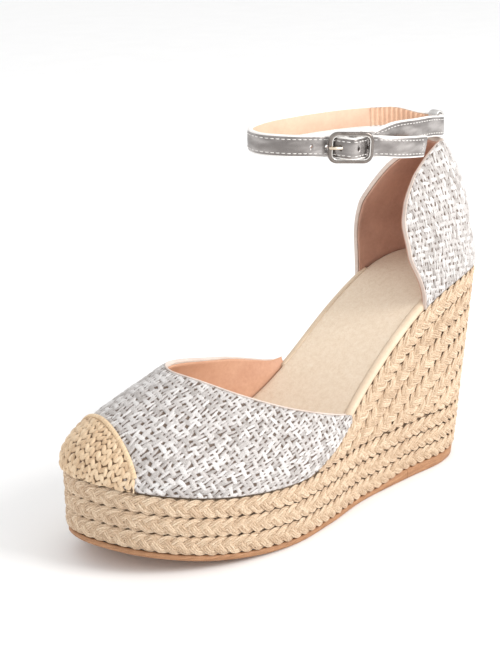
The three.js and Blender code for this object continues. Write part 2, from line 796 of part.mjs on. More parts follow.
// The buckle's own directions: along the strap towards its tip, up, and away from the ankle.
const BUCKLE_CENTRE = new THREE.Vector3(87.8, 11.6, 159);
const BUCKLE_ALONG = new THREE.Vector3(-0.87, 0.49, -0.07).normalize();
const BUCKLE_OUT = new THREE.Vector3().crossVectors(UP, BUCKLE_ALONG).normalize().negate();
const BUCKLE_UP = new THREE.Vector3().crossVectors(BUCKLE_ALONG, BUCKLE_OUT).normalize();
if (BUCKLE_UP.z < 0) BUCKLE_UP.negate();

function atBuckle(along, up, out) {
  return BUCKLE_CENTRE.clone()
    .addScaledVector(BUCKLE_ALONG, along)
    .addScaledVector(BUCKLE_UP, up)
    .addScaledVector(BUCKLE_OUT, out);
}

const STRAP_STEP = 2.8;
const STRAP_THICKNESS = STRAP_FACE_THICKNESS + FIT_GAP + STRAP_LINING_THICKNESS;
const END_BAR = BUCKLE_LENGTH / 2 - BUCKLE_WIRE_RADIUS;
const UNDER_BAR = BUCKLE_WIRE_RADIUS + 4.4 * FIT_GAP + STRAP_THICKNESS / 2;
const FOLD_RADIUS = CENTRE_BAR_RADIUS + HINGE_GAP + FOLD_THICKNESS;
const OVER_BAR = FOLD_RADIUS + 2 * FIT_GAP + STRAP_THICKNESS / 2;
const REAR_DEPTH = UNDER_BAR + STRAP_THICKNESS + FIT_GAP;

// Centre line of the strap from the folded end at the buckle, back through the heel loop, round the inner side and
// the front of the ankle, through the buckle and on to the tip.
const REAR_START = 6.2;
const STRAP_ROUTE = [
  atBuckle(REAR_START, 1.4, -REAR_DEPTH),
  atBuckle(REAR_START + 7, 2.4, -REAR_DEPTH - 0.3),
  new THREE.Vector3(60, 12.2, 161.8),
  new THREE.Vector3(44, 10.8, 161),
  new THREE.Vector3(30, 8, 160),
  new THREE.Vector3(LOOP_X + 2.4, 5.4, STRAP_AT_LOOP_Z),
  new THREE.Vector3(LOOP_X, 2, STRAP_AT_LOOP_Z),
  new THREE.Vector3(LOOP_X - 0.2, 0, STRAP_AT_LOOP_Z),
  new THREE.Vector3(LOOP_X, -2, STRAP_AT_LOOP_Z),
  new THREE.Vector3(LOOP_X + 2.6, -8.5, STRAP_AT_LOOP_Z + 0.5),
  new THREE.Vector3(26, -16.5, 161.6),
  new THREE.Vector3(38, -22, 162.4),
  new THREE.Vector3(54, -26.6, 162.8),
  new THREE.Vector3(78, -30.4, 162.8),
  new THREE.Vector3(99, -31, 162.5),
  new THREE.Vector3(113, -26, 162),
  new THREE.Vector3(116.5, -16.5, 161.6),
  new THREE.Vector3(110.8, -6, 161),
  atBuckle(-END_BAR - 5, 0, -UNDER_BAR + 0.2),
  atBuckle(-END_BAR, 0, -UNDER_BAR),
  atBuckle(-END_BAR * 0.5, 0, (OVER_BAR - UNDER_BAR) / 2),
  atBuckle(0, 0, OVER_BAR),
  atBuckle(END_BAR * 0.5, 0, (OVER_BAR - UNDER_BAR) / 2),
  atBuckle(END_BAR, 0, -UNDER_BAR),
  atBuckle(END_BAR + 5, 0, -UNDER_BAR + 0.2),
  new THREE.Vector3(62, 18.4, 156.2),
  new THREE.Vector3(44, 17.4, 154),
];
const strapPath = new THREE.CatmullRomCurve3(STRAP_ROUTE, false, 'centripetal');
strapPath.arcLengthDivisions = 1600;
const STRAP_LENGTH = strapPath.getLength();

function strapDistanceNearest(target, low, high) {
  let best = low;
  for (let s = low; s <= high; s += 0.1) {
    const here = strapPath.getPointAt(s / STRAP_LENGTH).distanceTo(target);
    if (here < strapPath.getPointAt(best / STRAP_LENGTH).distanceTo(target)) best = s;
  }
  return best;
}

function strapFrame(distance) {
  const u = clamp(distance / STRAP_LENGTH, 0, 1);
  const centre = strapPath.getPointAt(u);
  const along = strapPath.getTangentAt(u);
  const out = new THREE.Vector3().crossVectors(along, UP).normalize();
  return { centre, along, out };
}

// A layer of the strap between two distances along it and two depths from its centre line.
function strapLayer(start, end, inner, outer, slant = 0) {
  const rings = [];
  const steps = Math.ceil((end - start) / STRAP_STEP);
  for (let i = 0; i <= steps; i += 1) {
    const base = lerp(start, end, i / steps);
    const corner = (out, up) => {
      const pull = slant * clamp(1 - (end - base) / 12, 0, 1) * (0.5 - up / STRAP_HEIGHT);
      const frame = strapFrame(base - pull);
      return frame.centre.addScaledVector(frame.out, out).addScaledVector(UP, up);
    };
    const half = STRAP_HEIGHT / 2;
    rings.push([corner(inner, -half), corner(outer, -half), corner(outer, half), corner(inner, half)]);
  }
  return loft(rings);
}

const OUTWARD = strapFrame(STRAP_LENGTH * 0.3).out.y < 0 ? 1 : -1;
const FACE_OUTER = (OUTWARD * STRAP_THICKNESS) / 2;
const FACE_INNER = OUTWARD * (STRAP_THICKNESS / 2 - STRAP_FACE_THICKNESS);
const LINING_OUTER = FACE_INNER - OUTWARD * FIT_GAP;
const LINING_INNER = (-OUTWARD * STRAP_THICKNESS) / 2;

const BUCKLE_DISTANCE = strapDistanceNearest(atBuckle(0, 0, OVER_BAR), STRAP_LENGTH * 0.6, STRAP_LENGTH);
const LOOP_DISTANCE = strapDistanceNearest(new THREE.Vector3(LOOP_X, 0, STRAP_AT_LOOP_Z), 0, STRAP_LENGTH * 0.5);
const ELASTIC_START = LOOP_DISTANCE - 22;
const ELASTIC_END = LOOP_DISTANCE + 34;
const PRONG_HOLE_OFFSET = -5.4;

// Round punches for the spare holes and a short slot where the prong comes through.
function strapPunches() {
  const tools = [];
  for (const step of [-2, -1, 1, 2]) {
    const frame = strapFrame(BUCKLE_DISTANCE + PRONG_HOLE_OFFSET + step * STRAP_HOLE_PITCH);
    const reach = STRAP_THICKNESS * 1.2;
    const start = frame.centre.clone().addScaledVector(frame.out, -reach);
    const end = frame.centre.clone().addScaledVector(frame.out, reach);
    tools.push(rod(start, end, STRAP_HOLE_RADIUS, 8));
  }
  for (const lift of [-BUCKLE_ROCK, PRONG_LIFT / 4, PRONG_LIFT * 0.65, PRONG_LIFT + BUCKLE_ROCK]) {
    const start = prongPoint(lift, 0.12);
    const end = prongPoint(lift, 1.1);
    tools.push(rod(start, end, PRONG_RADIUS + PRONG_CLEARANCE, 8));
  }
  return tools;
}

// A point on the prong's shank, turned about the centre bar by its lift.
const PRONG_TIP = new THREE.Vector2(-END_BAR, BUCKLE_WIRE_RADIUS + PRONG_RADIUS + HINGE_GAP);

function prongPoint(lift, share) {
  const reach = PRONG_TIP.length() * share;
  const angle = Math.atan2(PRONG_TIP.y, PRONG_TIP.x) - lift;
  return atBuckle(reach * Math.cos(angle), 0, reach * Math.sin(angle));
}

function makeAnkleStrap() {
  return cutAway(strapLayer(0, STRAP_LENGTH, FACE_INNER, FACE_OUTER, STRAP_TIP_SLANT), ...strapPunches());
}

function makeStrapLiningRear() {
  return strapLayer(0, ELASTIC_START - FIT_GAP, LINING_INNER, LINING_OUTER);
}

function makeHeelElastic() {
  return strapLayer(ELASTIC_START, ELASTIC_END, LINING_INNER, LINING_OUTER);
}

function makeStrapLining() {
  const lining = strapLayer(ELASTIC_END + FIT_GAP, STRAP_LENGTH, LINING_INNER, LINING_OUTER, STRAP_TIP_SLANT);
  return cutAway(lining, ...strapPunches());
}

// ---- buckle ----

function makeBuckleFrame() {
  const halfLength = END_BAR;
  const halfHeight = BUCKLE_HEIGHT / 2 - BUCKLE_WIRE_RADIUS;
  const corner = BUCKLE_CORNER_RADIUS;
  const rings = [];
  const corners = [
    [halfLength - corner, halfHeight - corner, 0],
    [-(halfLength - corner), halfHeight - corner, Math.PI / 2],
    [-(halfLength - corner), -(halfHeight - corner), Math.PI],
    [halfLength - corner, -(halfHeight - corner), 1.5 * Math.PI],
  ];
  for (const [along, up, turn] of corners) {
    for (let i = 0; i <= 3; i += 1) {
      const angle = turn + (i / 3) * (Math.PI / 2);
      const centre = atBuckle(along + corner * Math.cos(angle), up + corner * Math.sin(angle), 0);
      const outward = new THREE.Vector3()
        .addScaledVector(BUCKLE_ALONG, Math.cos(angle))
        .addScaledVector(BUCKLE_UP, Math.sin(angle));
      rings.push(circlePoints(centre, outward, BUCKLE_OUT, BUCKLE_WIRE_RADIUS, 8));
    }
  }
  const bar = rod(atBuckle(0, -halfHeight, 0), atBuckle(0, halfHeight, 0), CENTRE_BAR_RADIUS, 12);
  return joinSolids(loft(rings, true), bar);
}

// A flat ring round the centre bar, between two heights.
function barRing(innerRadius, outerRadius, low, high) {
  const shape = new THREE.Shape();
  shape.absarc(0, 0, outerRadius, 0, 2 * Math.PI, false);
  const hole = new THREE.Path();
  hole.absarc(0, 0, innerRadius, 0, 2 * Math.PI, false);
  shape.holes.push(hole);
  const basis = new THREE.Matrix4().makeBasis(BUCKLE_ALONG, BUCKLE_OUT, BUCKLE_UP);
  if (basis.determinant() < 0) basis.makeBasis(BUCKLE_OUT, BUCKLE_ALONG, BUCKLE_UP);
  return new THREE.ExtrudeGeometry(shape, { depth: high - low, bevelEnabled: false, curveSegments: 9 })
    .translate(0, 0, low)
    .applyMatrix4(basis)
    .translate(BUCKLE_CENTRE.x, BUCKLE_CENTRE.y, BUCKLE_CENTRE.z);
}

function makeBuckleProng() {
  const half = PRONG_RADIUS;
  const ring = barRing(CENTRE_BAR_RADIUS + HINGE_GAP, FOLD_RADIUS, -half, half);
  const shank = rod(prongPoint(0, FOLD_RADIUS / PRONG_TIP.length() - 0.02), prongPoint(0, 1.08), PRONG_RADIUS, 10);
  return joinSolids(ring, shank);
}

// The strap's end folded round the centre bar, with a slot for the prong and a tail that joins the strap.
function makeBuckleFold() {
  const half = STRAP_HEIGHT / 2;
  const slot = PRONG_RADIUS + 2 * FIT_GAP;
  const ring = barRing(CENTRE_BAR_RADIUS + HINGE_GAP, FOLD_RADIUS, -half, half);
  const tailSection = (along, out) => [
    atBuckle(along, -half, out - FOLD_THICKNESS),
    atBuckle(along, -half, out + FOLD_THICKNESS),
    atBuckle(along, half, out + FOLD_THICKNESS),
    atBuckle(along, half, out - FOLD_THICKNESS),
  ];
  const tail = loft([
    tailSection(FOLD_RADIUS - FOLD_THICKNESS * 0.7, -FOLD_RADIUS * 0.55),
    tailSection(FOLD_RADIUS + 1.4, -REAR_DEPTH * 0.75),
    tailSection(REAR_START - FIT_GAP, -REAR_DEPTH),
  ]);
  const barSpace = rod(atBuckle(0, -half - 1, 0), atBuckle(0, half + 1, 0), CENTRE_BAR_RADIUS + HINGE_GAP, 18);
  const prongSpace = boxBetween(new THREE.Vector3(-9, -9, -slot), new THREE.Vector3(FOLD_RADIUS + 0.6, 9, slot));
  const basis = new THREE.Matrix4().makeBasis(BUCKLE_ALONG, BUCKLE_OUT, BUCKLE_UP);
  if (basis.determinant() < 0) prongSpace.scale(1, -1, 1);
  prongSpace.applyMatrix4(basis).translate(BUCKLE_CENTRE.x, BUCKLE_CENTRE.y, BUCKLE_CENTRE.z);
  return cutAway(joinSolids(ring, tail), barSpace, prongSpace);
}

// ---- assembly ----

const JUTE = { color: 0xcdae7f, roughness: 0.95, metalness: 0 };
const SILVER_WEAVE = { color: 0xc9c8c6, roughness: 0.55, metalness: 0.3 };
const SILVER_LEATHER = { color: 0xa9a7a8, roughness: 0.35, metalness: 0.6 };
const NUDE_LEATHER = { color: 0xe0b394, roughness: 0.7, metalness: 0 };
const SUEDE = { color: 0xd3b48c, roughness: 0.9, metalness: 0 };
const PALE_EDGE = { color: 0xe9dccb, roughness: 0.8, metalness: 0 };
const RUBBER = { color: 0xb0743f, roughness: 0.7, metalness: 0 };
const FOAM = { color: 0xd8c9a8, roughness: 0.9, metalness: 0 };
const BOARD = { color: 0x9b8564, roughness: 0.9, metalness: 0 };
const STEEL = { color: 0x8d9094, roughness: 0.4, metalness: 1 };
const NICKEL = { color: 0xb9b6b2, roughness: 0.2, metalness: 1 };

const sandal = new THREE.Group();

function addPiece(name, geometry, finish) {
  const mesh = new THREE.Mesh(geometry, new THREE.MeshStandardMaterial(finish));
  mesh.name = name;
  sandal.add(mesh);
}

addPiece('outsole', makeOutsole(), RUBBER);
addPiece('heel_lift', makeHeelLift(), RUBBER);
addPiece('wedge_core', makeWedgeCore(), FOAM);
addPiece('shank', makeShank(), STEEL);
for (let row = 0; row < PLATFORM_ROWS; row += 1) addPiece(`platform_braid_${row + 1}`, makePlatformRow(row), JUTE);
for (let row = 0; row < WEDGE_ROWS; row += 1) addPiece(`wedge_braid_${row + 1}`, makeWedgeRow(row), JUTE);
addPiece('insole_board', makeInsoleBoard(), BOARD);
addPiece('insole_foam', makeInsoleFoam(), FOAM);
addPiece('sock_lining', makeSockLining(), SUEDE);
addPiece('insole_binding_outer', makeInsoleBinding(1), PALE_EDGE);
addPiece('insole_binding_inner', makeInsoleBinding(-1), PALE_EDGE);
addPiece('vamp_outer', makeVampOuter(), SILVER_WEAVE);
addPiece('vamp_interlining', makeVampInterlining(), FOAM);
addPiece('vamp_lining', makeVampLining(), NUDE_LEATHER);
addPiece('vamp_binding', makeVampBinding(), PALE_EDGE);
addPiece('toe_cap', makeToeCap(), JUTE);
addPiece('toe_cap_edging', makeToeCapEdging(), PALE_EDGE);
addPiece('toe_puff', makeToePuff(), BOARD);
addPiece('counter_outer', makeCounterOuter(), SILVER_WEAVE);
addPiece('heel_stiffener', makeHeelStiffener(), BOARD);
addPiece('counter_lining', makeCounterLining(), NUDE_LEATHER);
addPiece('counter_binding_outer', makeCounterBinding(1), PALE_EDGE);
addPiece('counter_binding_inner', makeCounterBinding(-1), PALE_EDGE);
addPiece('heel_loop', makeHeelLoop(), SILVER_LEATHER);
addPiece('ankle_strap', makeAnkleStrap(), SILVER_LEATHER);
addPiece('strap_lining', makeStrapLining(), NUDE_LEATHER);
addPiece('strap_lining_rear', makeStrapLiningRear(), NUDE_LEATHER);
addPiece('heel_elastic', makeHeelElastic(), NUDE_LEATHER);
addPiece('buckle_fold', makeBuckleFold(), SILVER_LEATHER);
addPiece('buckle_frame', makeBuckleFrame(), NICKEL);
addPiece('buckle_prong', makeBuckleProng(), NICKEL);

// Centre the sandal over the origin, standing on the floor.
const extent = new THREE.Box3().setFromObject(sandal);
sandal.position.set(-(extent.min.x + extent.max.x) / 2, -(extent.min.y + extent.max.y) / 2, -extent.min.z);

export default sandal;
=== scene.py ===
"""Looks of the wedge-heel espadrille sandal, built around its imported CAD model.

Lengths in the shape code are in millimetres, measured from the back of the heel and the floor.
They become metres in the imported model's frame at the end.
"""

import math

import bmesh
import bpy
import numpy as np
from mathutils import Matrix, Vector


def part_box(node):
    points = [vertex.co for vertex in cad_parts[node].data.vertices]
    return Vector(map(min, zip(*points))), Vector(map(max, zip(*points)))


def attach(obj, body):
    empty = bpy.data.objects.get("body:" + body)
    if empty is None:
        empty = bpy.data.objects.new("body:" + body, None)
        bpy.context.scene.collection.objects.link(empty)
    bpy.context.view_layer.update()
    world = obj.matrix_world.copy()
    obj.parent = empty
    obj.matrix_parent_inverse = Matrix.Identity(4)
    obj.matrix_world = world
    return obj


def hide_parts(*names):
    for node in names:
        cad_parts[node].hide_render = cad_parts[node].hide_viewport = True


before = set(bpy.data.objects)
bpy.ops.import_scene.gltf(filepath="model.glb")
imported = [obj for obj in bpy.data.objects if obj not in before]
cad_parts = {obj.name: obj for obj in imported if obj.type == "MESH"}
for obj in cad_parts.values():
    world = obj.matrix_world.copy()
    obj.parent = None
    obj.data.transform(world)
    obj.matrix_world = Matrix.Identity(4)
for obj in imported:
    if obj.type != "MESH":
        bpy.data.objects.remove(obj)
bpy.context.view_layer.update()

rng = np.random.default_rng(11)

# ---- sizes shared with the CAD model ----

SHOE_LENGTH = 232.0
FOREFOOT_WIDTH = 83.7
HEEL_WIDTH = 53.6
WEDGE_HEIGHT = 92.0
PLATFORM_HEIGHT = 27.8
FIT_GAP = 0.3
OUTSOLE_THICKNESS = 3.0
HEEL_LIFT_THICKNESS = 5.5
HEEL_LIFT_LENGTH = 50.0
LIFT_RAMP_LENGTH = 24.0
TOE_SPRING = 11.8
TOE_SPRING_LENGTH = 88.0
HEEL_LEAN = 16.7
HEEL_LEAN_LENGTH = 81.0
WEDGE_FALL_LENGTH = 149.0
WEDGE_FALL_POWER = 1.27
SOLE_INSET = 1.2
PLATFORM_ROWS = 3
WEDGE_ROWS = 7
SOCK_INSET = 4.3
SOCK_LEVEL = 2.2
SOCK_TOP_LEVEL = 3.2
LINING_DEPTH = 2.3
LINING_THICKNESS = 0.7
UPPER_INSET = 0.3
UPPER_SEAT = 0.5
CAP_LENGTH = 14.4
CAP_SKEW = math.radians(-13)
VAMP_REAR_OUTER_FROM_TOE = 122.0
VAMP_REAR_INNER_FROM_TOE = 135.0
COUNTER_FRONT_OUTER = 54.0
COUNTER_FRONT_INNER = 45.0
COUNTER_TOP = 151.6
STRAP_HEIGHT = 9.1
STRAP_FACE_THICKNESS = 1.1
STRAP_LINING_THICKNESS = 0.8
STRAP_TIP_SLANT = 3.0
STRAP_HOLE_RADIUS = 0.8
STRAP_HOLE_PITCH = 7.3
LOOP_X = 16.6
LOOP_WIDTH = 5.4
LOOP_THICKNESS = 1.2
LOOP_HOLE_WIDTH = 3.6
LOOP_HOLE_HEIGHT = 10.9
BUCKLE_LENGTH = 21.0
BUCKLE_HEIGHT = 14.0
BUCKLE_WIRE_RADIUS = 1.05
BUCKLE_CORNER_RADIUS = 3.4
CENTRE_BAR_RADIUS = 0.8
PRONG_RADIUS = 0.75
FOLD_THICKNESS = 0.7
HINGE_GAP = 0.2

# Where the heel loop stands in the frame gives the shift from shape coordinates to the row's frame.
loop_low, loop_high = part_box("heel_loop")
SHIFT = np.array([(loop_low.x + loop_high.x) * 500 - LOOP_X, (loop_low.y + loop_high.y) * 500, 0.0])
UP = np.array([0.0, 0.0, 1.0])


def to_row(points):
    """Shape coordinates in mm to the row's frame in metres."""
    return (np.asarray(points, float) + SHIFT) * 0.001


# ---- small maths ----


def lerp(a, b, t):
    return a + (b - a) * t


def smoothstep(x, low, high):
    t = np.clip((x - low) / (high - low), 0, 1)
    return t * t * (3 - 2 * t)


def unit(v):
    v = np.asarray(v, float)
    return v / np.maximum(np.linalg.norm(v, axis=-1, keepdims=True), 1e-12)


def catmull(points, closed=False, power=0.0, per_span=60):
    """A Catmull-Rom curve through the points, sampled evenly in its own parameter.

    The power is taken of squared distances, so 0 is a uniform curve and 0.25 a centripetal one.
    """
    points = np.asarray(points, float)
    count = len(points)
    spans = count if closed else count - 1
    samples = []
    for i in range(spans):
        if closed:
            p = [points[(i + k) % count] for k in (-1, 0, 1, 2)]
        else:
            first = points[i - 1] if i > 0 else 2 * points[0] - points[1]
            last = points[i + 2] if i + 2 < count else 2 * points[-1] - points[-2]
            p = [first, points[i], points[i + 1], last]
        d = [max(float(np.sum((p[k + 1] - p[k]) ** 2)) ** power, 1e-4) if power else 1.0 for k in range(3)]
        start = (p[1] - p[0]) / d[0] - (p[2] - p[0]) / (d[0] + d[1]) + (p[2] - p[1]) / d[1]
        end = (p[2] - p[1]) / d[1] - (p[3] - p[1]) / (d[1] + d[2]) + (p[3] - p[2]) / d[2]
        start, end = start * d[1], end * d[1]
        t = np.linspace(0, 1, per_span, endpoint=False)[:, None]
        a = 2 * p[1] - 2 * p[2] + start + end
        b = -3 * p[1] + 3 * p[2] - 2 * start - end
        samples.append(p[1] + start * t + b * t**2 + a * t**3)
    samples.append(points[:1] if closed else points[-1:])
    return np.concatenate(samples)


class Path:
    """A sampled curve read by its share of length or by its distance."""

    def __init__(self, samples):
        self.samples = samples
        steps = np.linalg.norm(np.diff(samples, axis=0), axis=1)
        self.distance = np.concatenate([[0], np.cumsum(steps)])
        self.length = float(self.distance[-1])

    def at(self, distance):
        return np.stack([np.interp(distance, self.distance, self.samples[:, k]) for k in range(3)], -1)

    def share(self, u):
        return self.at(np.asarray(u, float) * self.length)

    def tangent(self, distance, step=0.05):
        low = np.clip(np.asarray(distance, float) - step, 0, self.length)
        high = np.clip(np.asarray(distance, float) + step, 0, self.length)
        return unit(self.at(high) - self.at(low))


# ---- the sandal's own curves, as in the CAD model ----

OUTLINE_SHARES = [
    [0, 0], [0.012, 0.05], [0.05, 0.098], [0.13, 0.125], [0.26, 0.13], [0.42, 0.14],
    [0.55, 0.17], [0.67, 0.188], [0.79, 0.174], [0.89, 0.132], [0.965, 0.06], [1, -0.035],
    [0.975, -0.115], [0.9, -0.165], [0.8, -0.183], [0.7, -0.175], [0.58, -0.145],
    [0.44, -0.116], [0.28, -0.113], [0.13, -0.115], [0.05, -0.094], [0.012, -0.05],
]
FOREFOOT_SHARES = 0.371
HEEL_SHARES = 0.243


def width_scale(share):
    return lerp(HEEL_WIDTH / HEEL_SHARES, FOREFOOT_WIDTH / FOREFOOT_SHARES, smoothstep(share, 0.2, 0.6))


outline = Path(catmull([[a * SHOE_LENGTH, b * width_scale(a), 0] for a, b in OUTLINE_SHARES], closed=True))
TOE_PARAMETER = float(outline.distance[np.argmax(outline.samples[:, 0])] / outline.length)


def outline_at(u):
    return outline.share(np.mod(u, 1.0))


def outline_tangent(u):
    step = 0.0004
    return unit(outline_at(np.asarray(u) + step) - outline_at(np.asarray(u) - step))


def side_parameter(x, side):
    back, front = (0.0 if side > 0 else 1.0), TOE_PARAMETER
    for _ in range(40):
        middle = (back + front) / 2
        if outline_at(middle)[0] < x:
            back = middle
        else:
            front = middle
    return (back + front) / 2


def toe_spring(x):
    share = np.clip((x - (SHOE_LENGTH - TOE_SPRING_LENGTH)) / TOE_SPRING_LENGTH, 0, 1.1)
    return TOE_SPRING * share * share


def braid_base(x):
    front = HEEL_LEAN + HEEL_LIFT_LENGTH
    ramp = smoothstep(x, front, front + LIFT_RAMP_LENGTH)
    return lerp(HEEL_LIFT_THICKNESS, OUTSOLE_THICKNESS, ramp) + toe_spring(x)


def braid_top(x):
    share = np.clip(x / WEDGE_FALL_LENGTH, 0, 1)
    fall = 0.5 + 0.5 * np.cos(np.pi * share**WEDGE_FALL_POWER)
    return lerp(PLATFORM_HEIGHT, WEDGE_HEIGHT, fall) + toe_spring(x)


def lean(x, z):
    return HEEL_LEAN * np.clip(1 - x / HEEL_LEAN_LENGTH, 0, 1) * np.clip(1 - z / WEDGE_HEIGHT, 0, 1)


def outline_point(u, inward, height_at):
    point, tangent = outline_at(u), outline_tangent(u)
    x = point[..., 0] + tangent[..., 1] * inward
    y = point[..., 1] - tangent[..., 0] * inward
    z = height_at(x)
    z = height_at(x + lean(x, z))
    return np.stack([x + lean(x, z), y, z], -1)


TOPLINE = [
    [VAMP_REAR_OUTER_FROM_TOE, 33, 2.6], [107, 34.5, 16], [86, 31, 29.5], [68, 22, 37], [55, 8, 43],
    [50.5, -6, 45], [58, -18, 44.6], [72.5, -25.5, 42], [89.5, -31, 37], [106.6, -32, 27.5],
    [119.6, -30, 16.5], [128, -28, 8.5], [VAMP_REAR_INNER_FROM_TOE, -26.6, 2.8],
]
topline = Path(catmull([[SHOE_LENGTH - b, s, braid_top(SHOE_LENGTH - b) + h] for b, s, h in TOPLINE]))
VAMP_START = side_parameter(SHOE_LENGTH - VAMP_REAR_OUTER_FROM_TOE, 1)
VAMP_END = side_parameter(SHOE_LENGTH - VAMP_REAR_INNER_FROM_TOE, -1)
WALL_RISE = 0.43
WALL_BULGE = 0.06
CROWN_REACH = 0.6
CROWN_DROP = 0.4


def vamp_point(t, q):
    """The vamp's outer face: t runs round the foot from the outer rear corner, q up from the sole."""
    t, q = np.broadcast_arrays(np.asarray(t, float), np.asarray(q, float))
    foot = outline_point(lerp(VAMP_START, VAMP_END, t), UPPER_INSET, lambda x: braid_top(x) + UPPER_SEAT)
    top = topline.share(t)
    rise = (top - foot)[..., 2:3]
    reach = (foot - top) * np.array([1, 1, 0])
    wall = foot + UP * rise * WALL_RISE + reach * WALL_BULGE
    crown = top + reach * CROWN_REACH - UP * rise * CROWN_DROP
    q = q[..., None]
    return foot * (1 - q) ** 3 + 3 * wall * q * (1 - q) ** 2 + 3 * crown * q * q * (1 - q) + top * q**3


COUNTER_ROOT_BLEND = 0.38
COUNTER_ROUNDING = 0.62
COUNTER_SECTIONS = [
    [0, 0, COUNTER_FRONT_OUTER, COUNTER_FRONT_INNER, 27, -26], [0.33, 0.5, 61, 46.5, 25, -25],
    [0.54, 1.5, 61.5, 47, 21.5, -22], [0.69, 3.8, 56.5, 44, 17.5, -17.5], [0.84, 7.5, 44.5, 37, 12.5, -12.5],
    [0.94, 11.4, 31, 27, 8.5, -8.5], [1, 14.6, 20.4, 20, 6, -6],
]
counter_shape = catmull([s[1:4] for s in COUNTER_SECTIONS], power=0.25)
counter_sides = catmull([[s[0], s[4], s[5]] for s in COUNTER_SECTIONS], power=0.25)


def counter_point(t, q):
    """The heel cup's outer face: t runs round the heel from the outer front edge, q up from the sole."""
    t, q = np.broadcast_arrays(np.asarray(t, float), np.asarray(q, float))
    start = side_parameter(COUNTER_FRONT_OUTER, 1)
    end = side_parameter(COUNTER_FRONT_INNER, -1) - 1
    foot = outline_point(lerp(start, end, t), UPPER_INSET, lambda x: braid_top(x) + UPPER_SEAT)
    back, outer, inner = (np.interp(q, counter_sides[:, 0], counter_shape[:, k]) for k in range(3))
    outer_side, inner_side = (np.interp(q, counter_sides[:, 0], counter_sides[:, k]) for k in (1, 2))
    angle = np.pi * t
    front = lerp(outer, inner, t)
    x = front - (front - back) * np.clip(np.sin(angle), 0, 1) ** COUNTER_ROUNDING
    y = lerp(inner_side, outer_side, 0.5 + 0.5 * np.cos(angle))
    mix = smoothstep(q, 0, COUNTER_ROOT_BLEND)
    z = lerp(foot[..., 2], COUNTER_TOP, q)
    return np.stack([lerp(foot[..., 0], x, mix), lerp(foot[..., 1], y, mix), z], -1)


# ---- meshes ----


def new_mesh(
    name, points, faces, material, body, node_names=(), smooth=True, attributes=None, uv=None,
):
    """A piece from points in shape coordinates. It rides on its body and stands for the named CAD nodes."""
    mesh = bpy.data.meshes.new(name)
    mesh.from_pydata(to_row(points).tolist(), [], [tuple(map(int, f)) for f in faces])
    mesh.validate()
    if smooth:
        mesh.polygons.foreach_set("use_smooth", [True] * len(mesh.polygons))
    for key, values in (attributes or {}).items():
        layer = mesh.attributes.new(key, "FLOAT", "POINT")
        layer.data.foreach_set("value", np.asarray(values, np.float32).ravel())
    if uv is not None:
        layer = mesh.uv_layers.new(name="UVMap")
        index = np.zeros(len(mesh.loops), np.int32)
        mesh.loops.foreach_get("vertex_index", index)
        layer.data.foreach_set("uv", np.asarray(uv, np.float32)[index].ravel())
    mesh.materials.append(material)
    piece = bpy.data.objects.new(name, mesh)
    bpy.context.scene.collection.objects.link(piece)
    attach(piece, body)
    if node_names:
        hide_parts(*node_names)
    return piece


def grid_faces(rows, columns, closed_rows=False, closed_columns=False, offset=0):
    i = np.arange(rows if closed_rows else rows - 1)
    j = np.arange(columns if closed_columns else columns - 1)
    i, j = (a.ravel() for a in np.meshgrid(i, j, indexing="ij"))
    i2, j2 = (i + 1) % rows, (j + 1) % columns
    return np.stack([i * columns + j, i2 * columns + j, i2 * columns + j2, i * columns + j2], -1) + offset


def grid_normals(grid, closed=False):
    if closed:
        along = np.roll(grid, -1, 0) - np.roll(grid, 1, 0)
    else:
        along = np.gradient(grid, axis=0)
    across = np.gradient(grid, axis=1)
    return unit(np.cross(across, along))


def shell(outer, inner):
    """A closed shell between two grids of the same size. Returns points and faces."""
    rows, columns = outer.shape[:2]
    size = rows * columns
    points = np.concatenate([outer.reshape(-1, 3), inner.reshape(-1, 3)])
    faces = grid_faces(rows, columns)
    back = grid_faces(rows, columns, offset=size)[:, ::-1]
    rim = [i * columns for i in range(rows - 1)]
    rim += [(rows - 1) * columns + j for j in range(columns - 1)]
    rim += [i * columns + columns - 1 for i in range(rows - 1, 0, -1)]
    rim += list(range(columns - 1, 0, -1))
    sides = [(b, a, a + size, b + size) for a, b in zip(rim, rim[1:] + rim[:1])]
    return points, np.concatenate([faces, back, np.array(sides)])


def thick_sheet(outer, depth, back_rows=6):
    """A closed sheet whose back is a coarse copy of its dense outer face. Returns points and faces."""
    rows, columns = outer.shape[:2]
    stride = (columns - 1) // back_rows
    keep = np.array([k * stride for k in range(back_rows)] + [columns - 1])
    inner = (outer - grid_normals(outer) * depth)[:, keep]
    size, count = rows * columns, len(keep)
    points = np.concatenate([outer.reshape(-1, 3), inner.reshape(-1, 3)])
    faces = [tuple(f) for f in grid_faces(rows, columns)]
    faces += [tuple(f[::-1]) for f in grid_faces(rows, count, offset=size)]
    for i in range(rows - 1):
        low, low_next = i * columns, (i + 1) * columns
        faces.append((low_next, low, size + i * count, size + (i + 1) * count))
        high, high_next = low + columns - 1, low_next + columns - 1
        faces.append((high, high_next, size + (i + 1) * count + count - 1, size + i * count + count - 1))
    for i, flip in ((0, False), (rows - 1, True)):
        for k in range(count - 1):
            ring = [i * columns + j for j in range(keep[k], keep[k + 1] + 1)]
            ring += [size + i * count + k + 1, size + i * count + k]
            faces.append(tuple(ring if flip else ring[::-1]))
    return points, faces


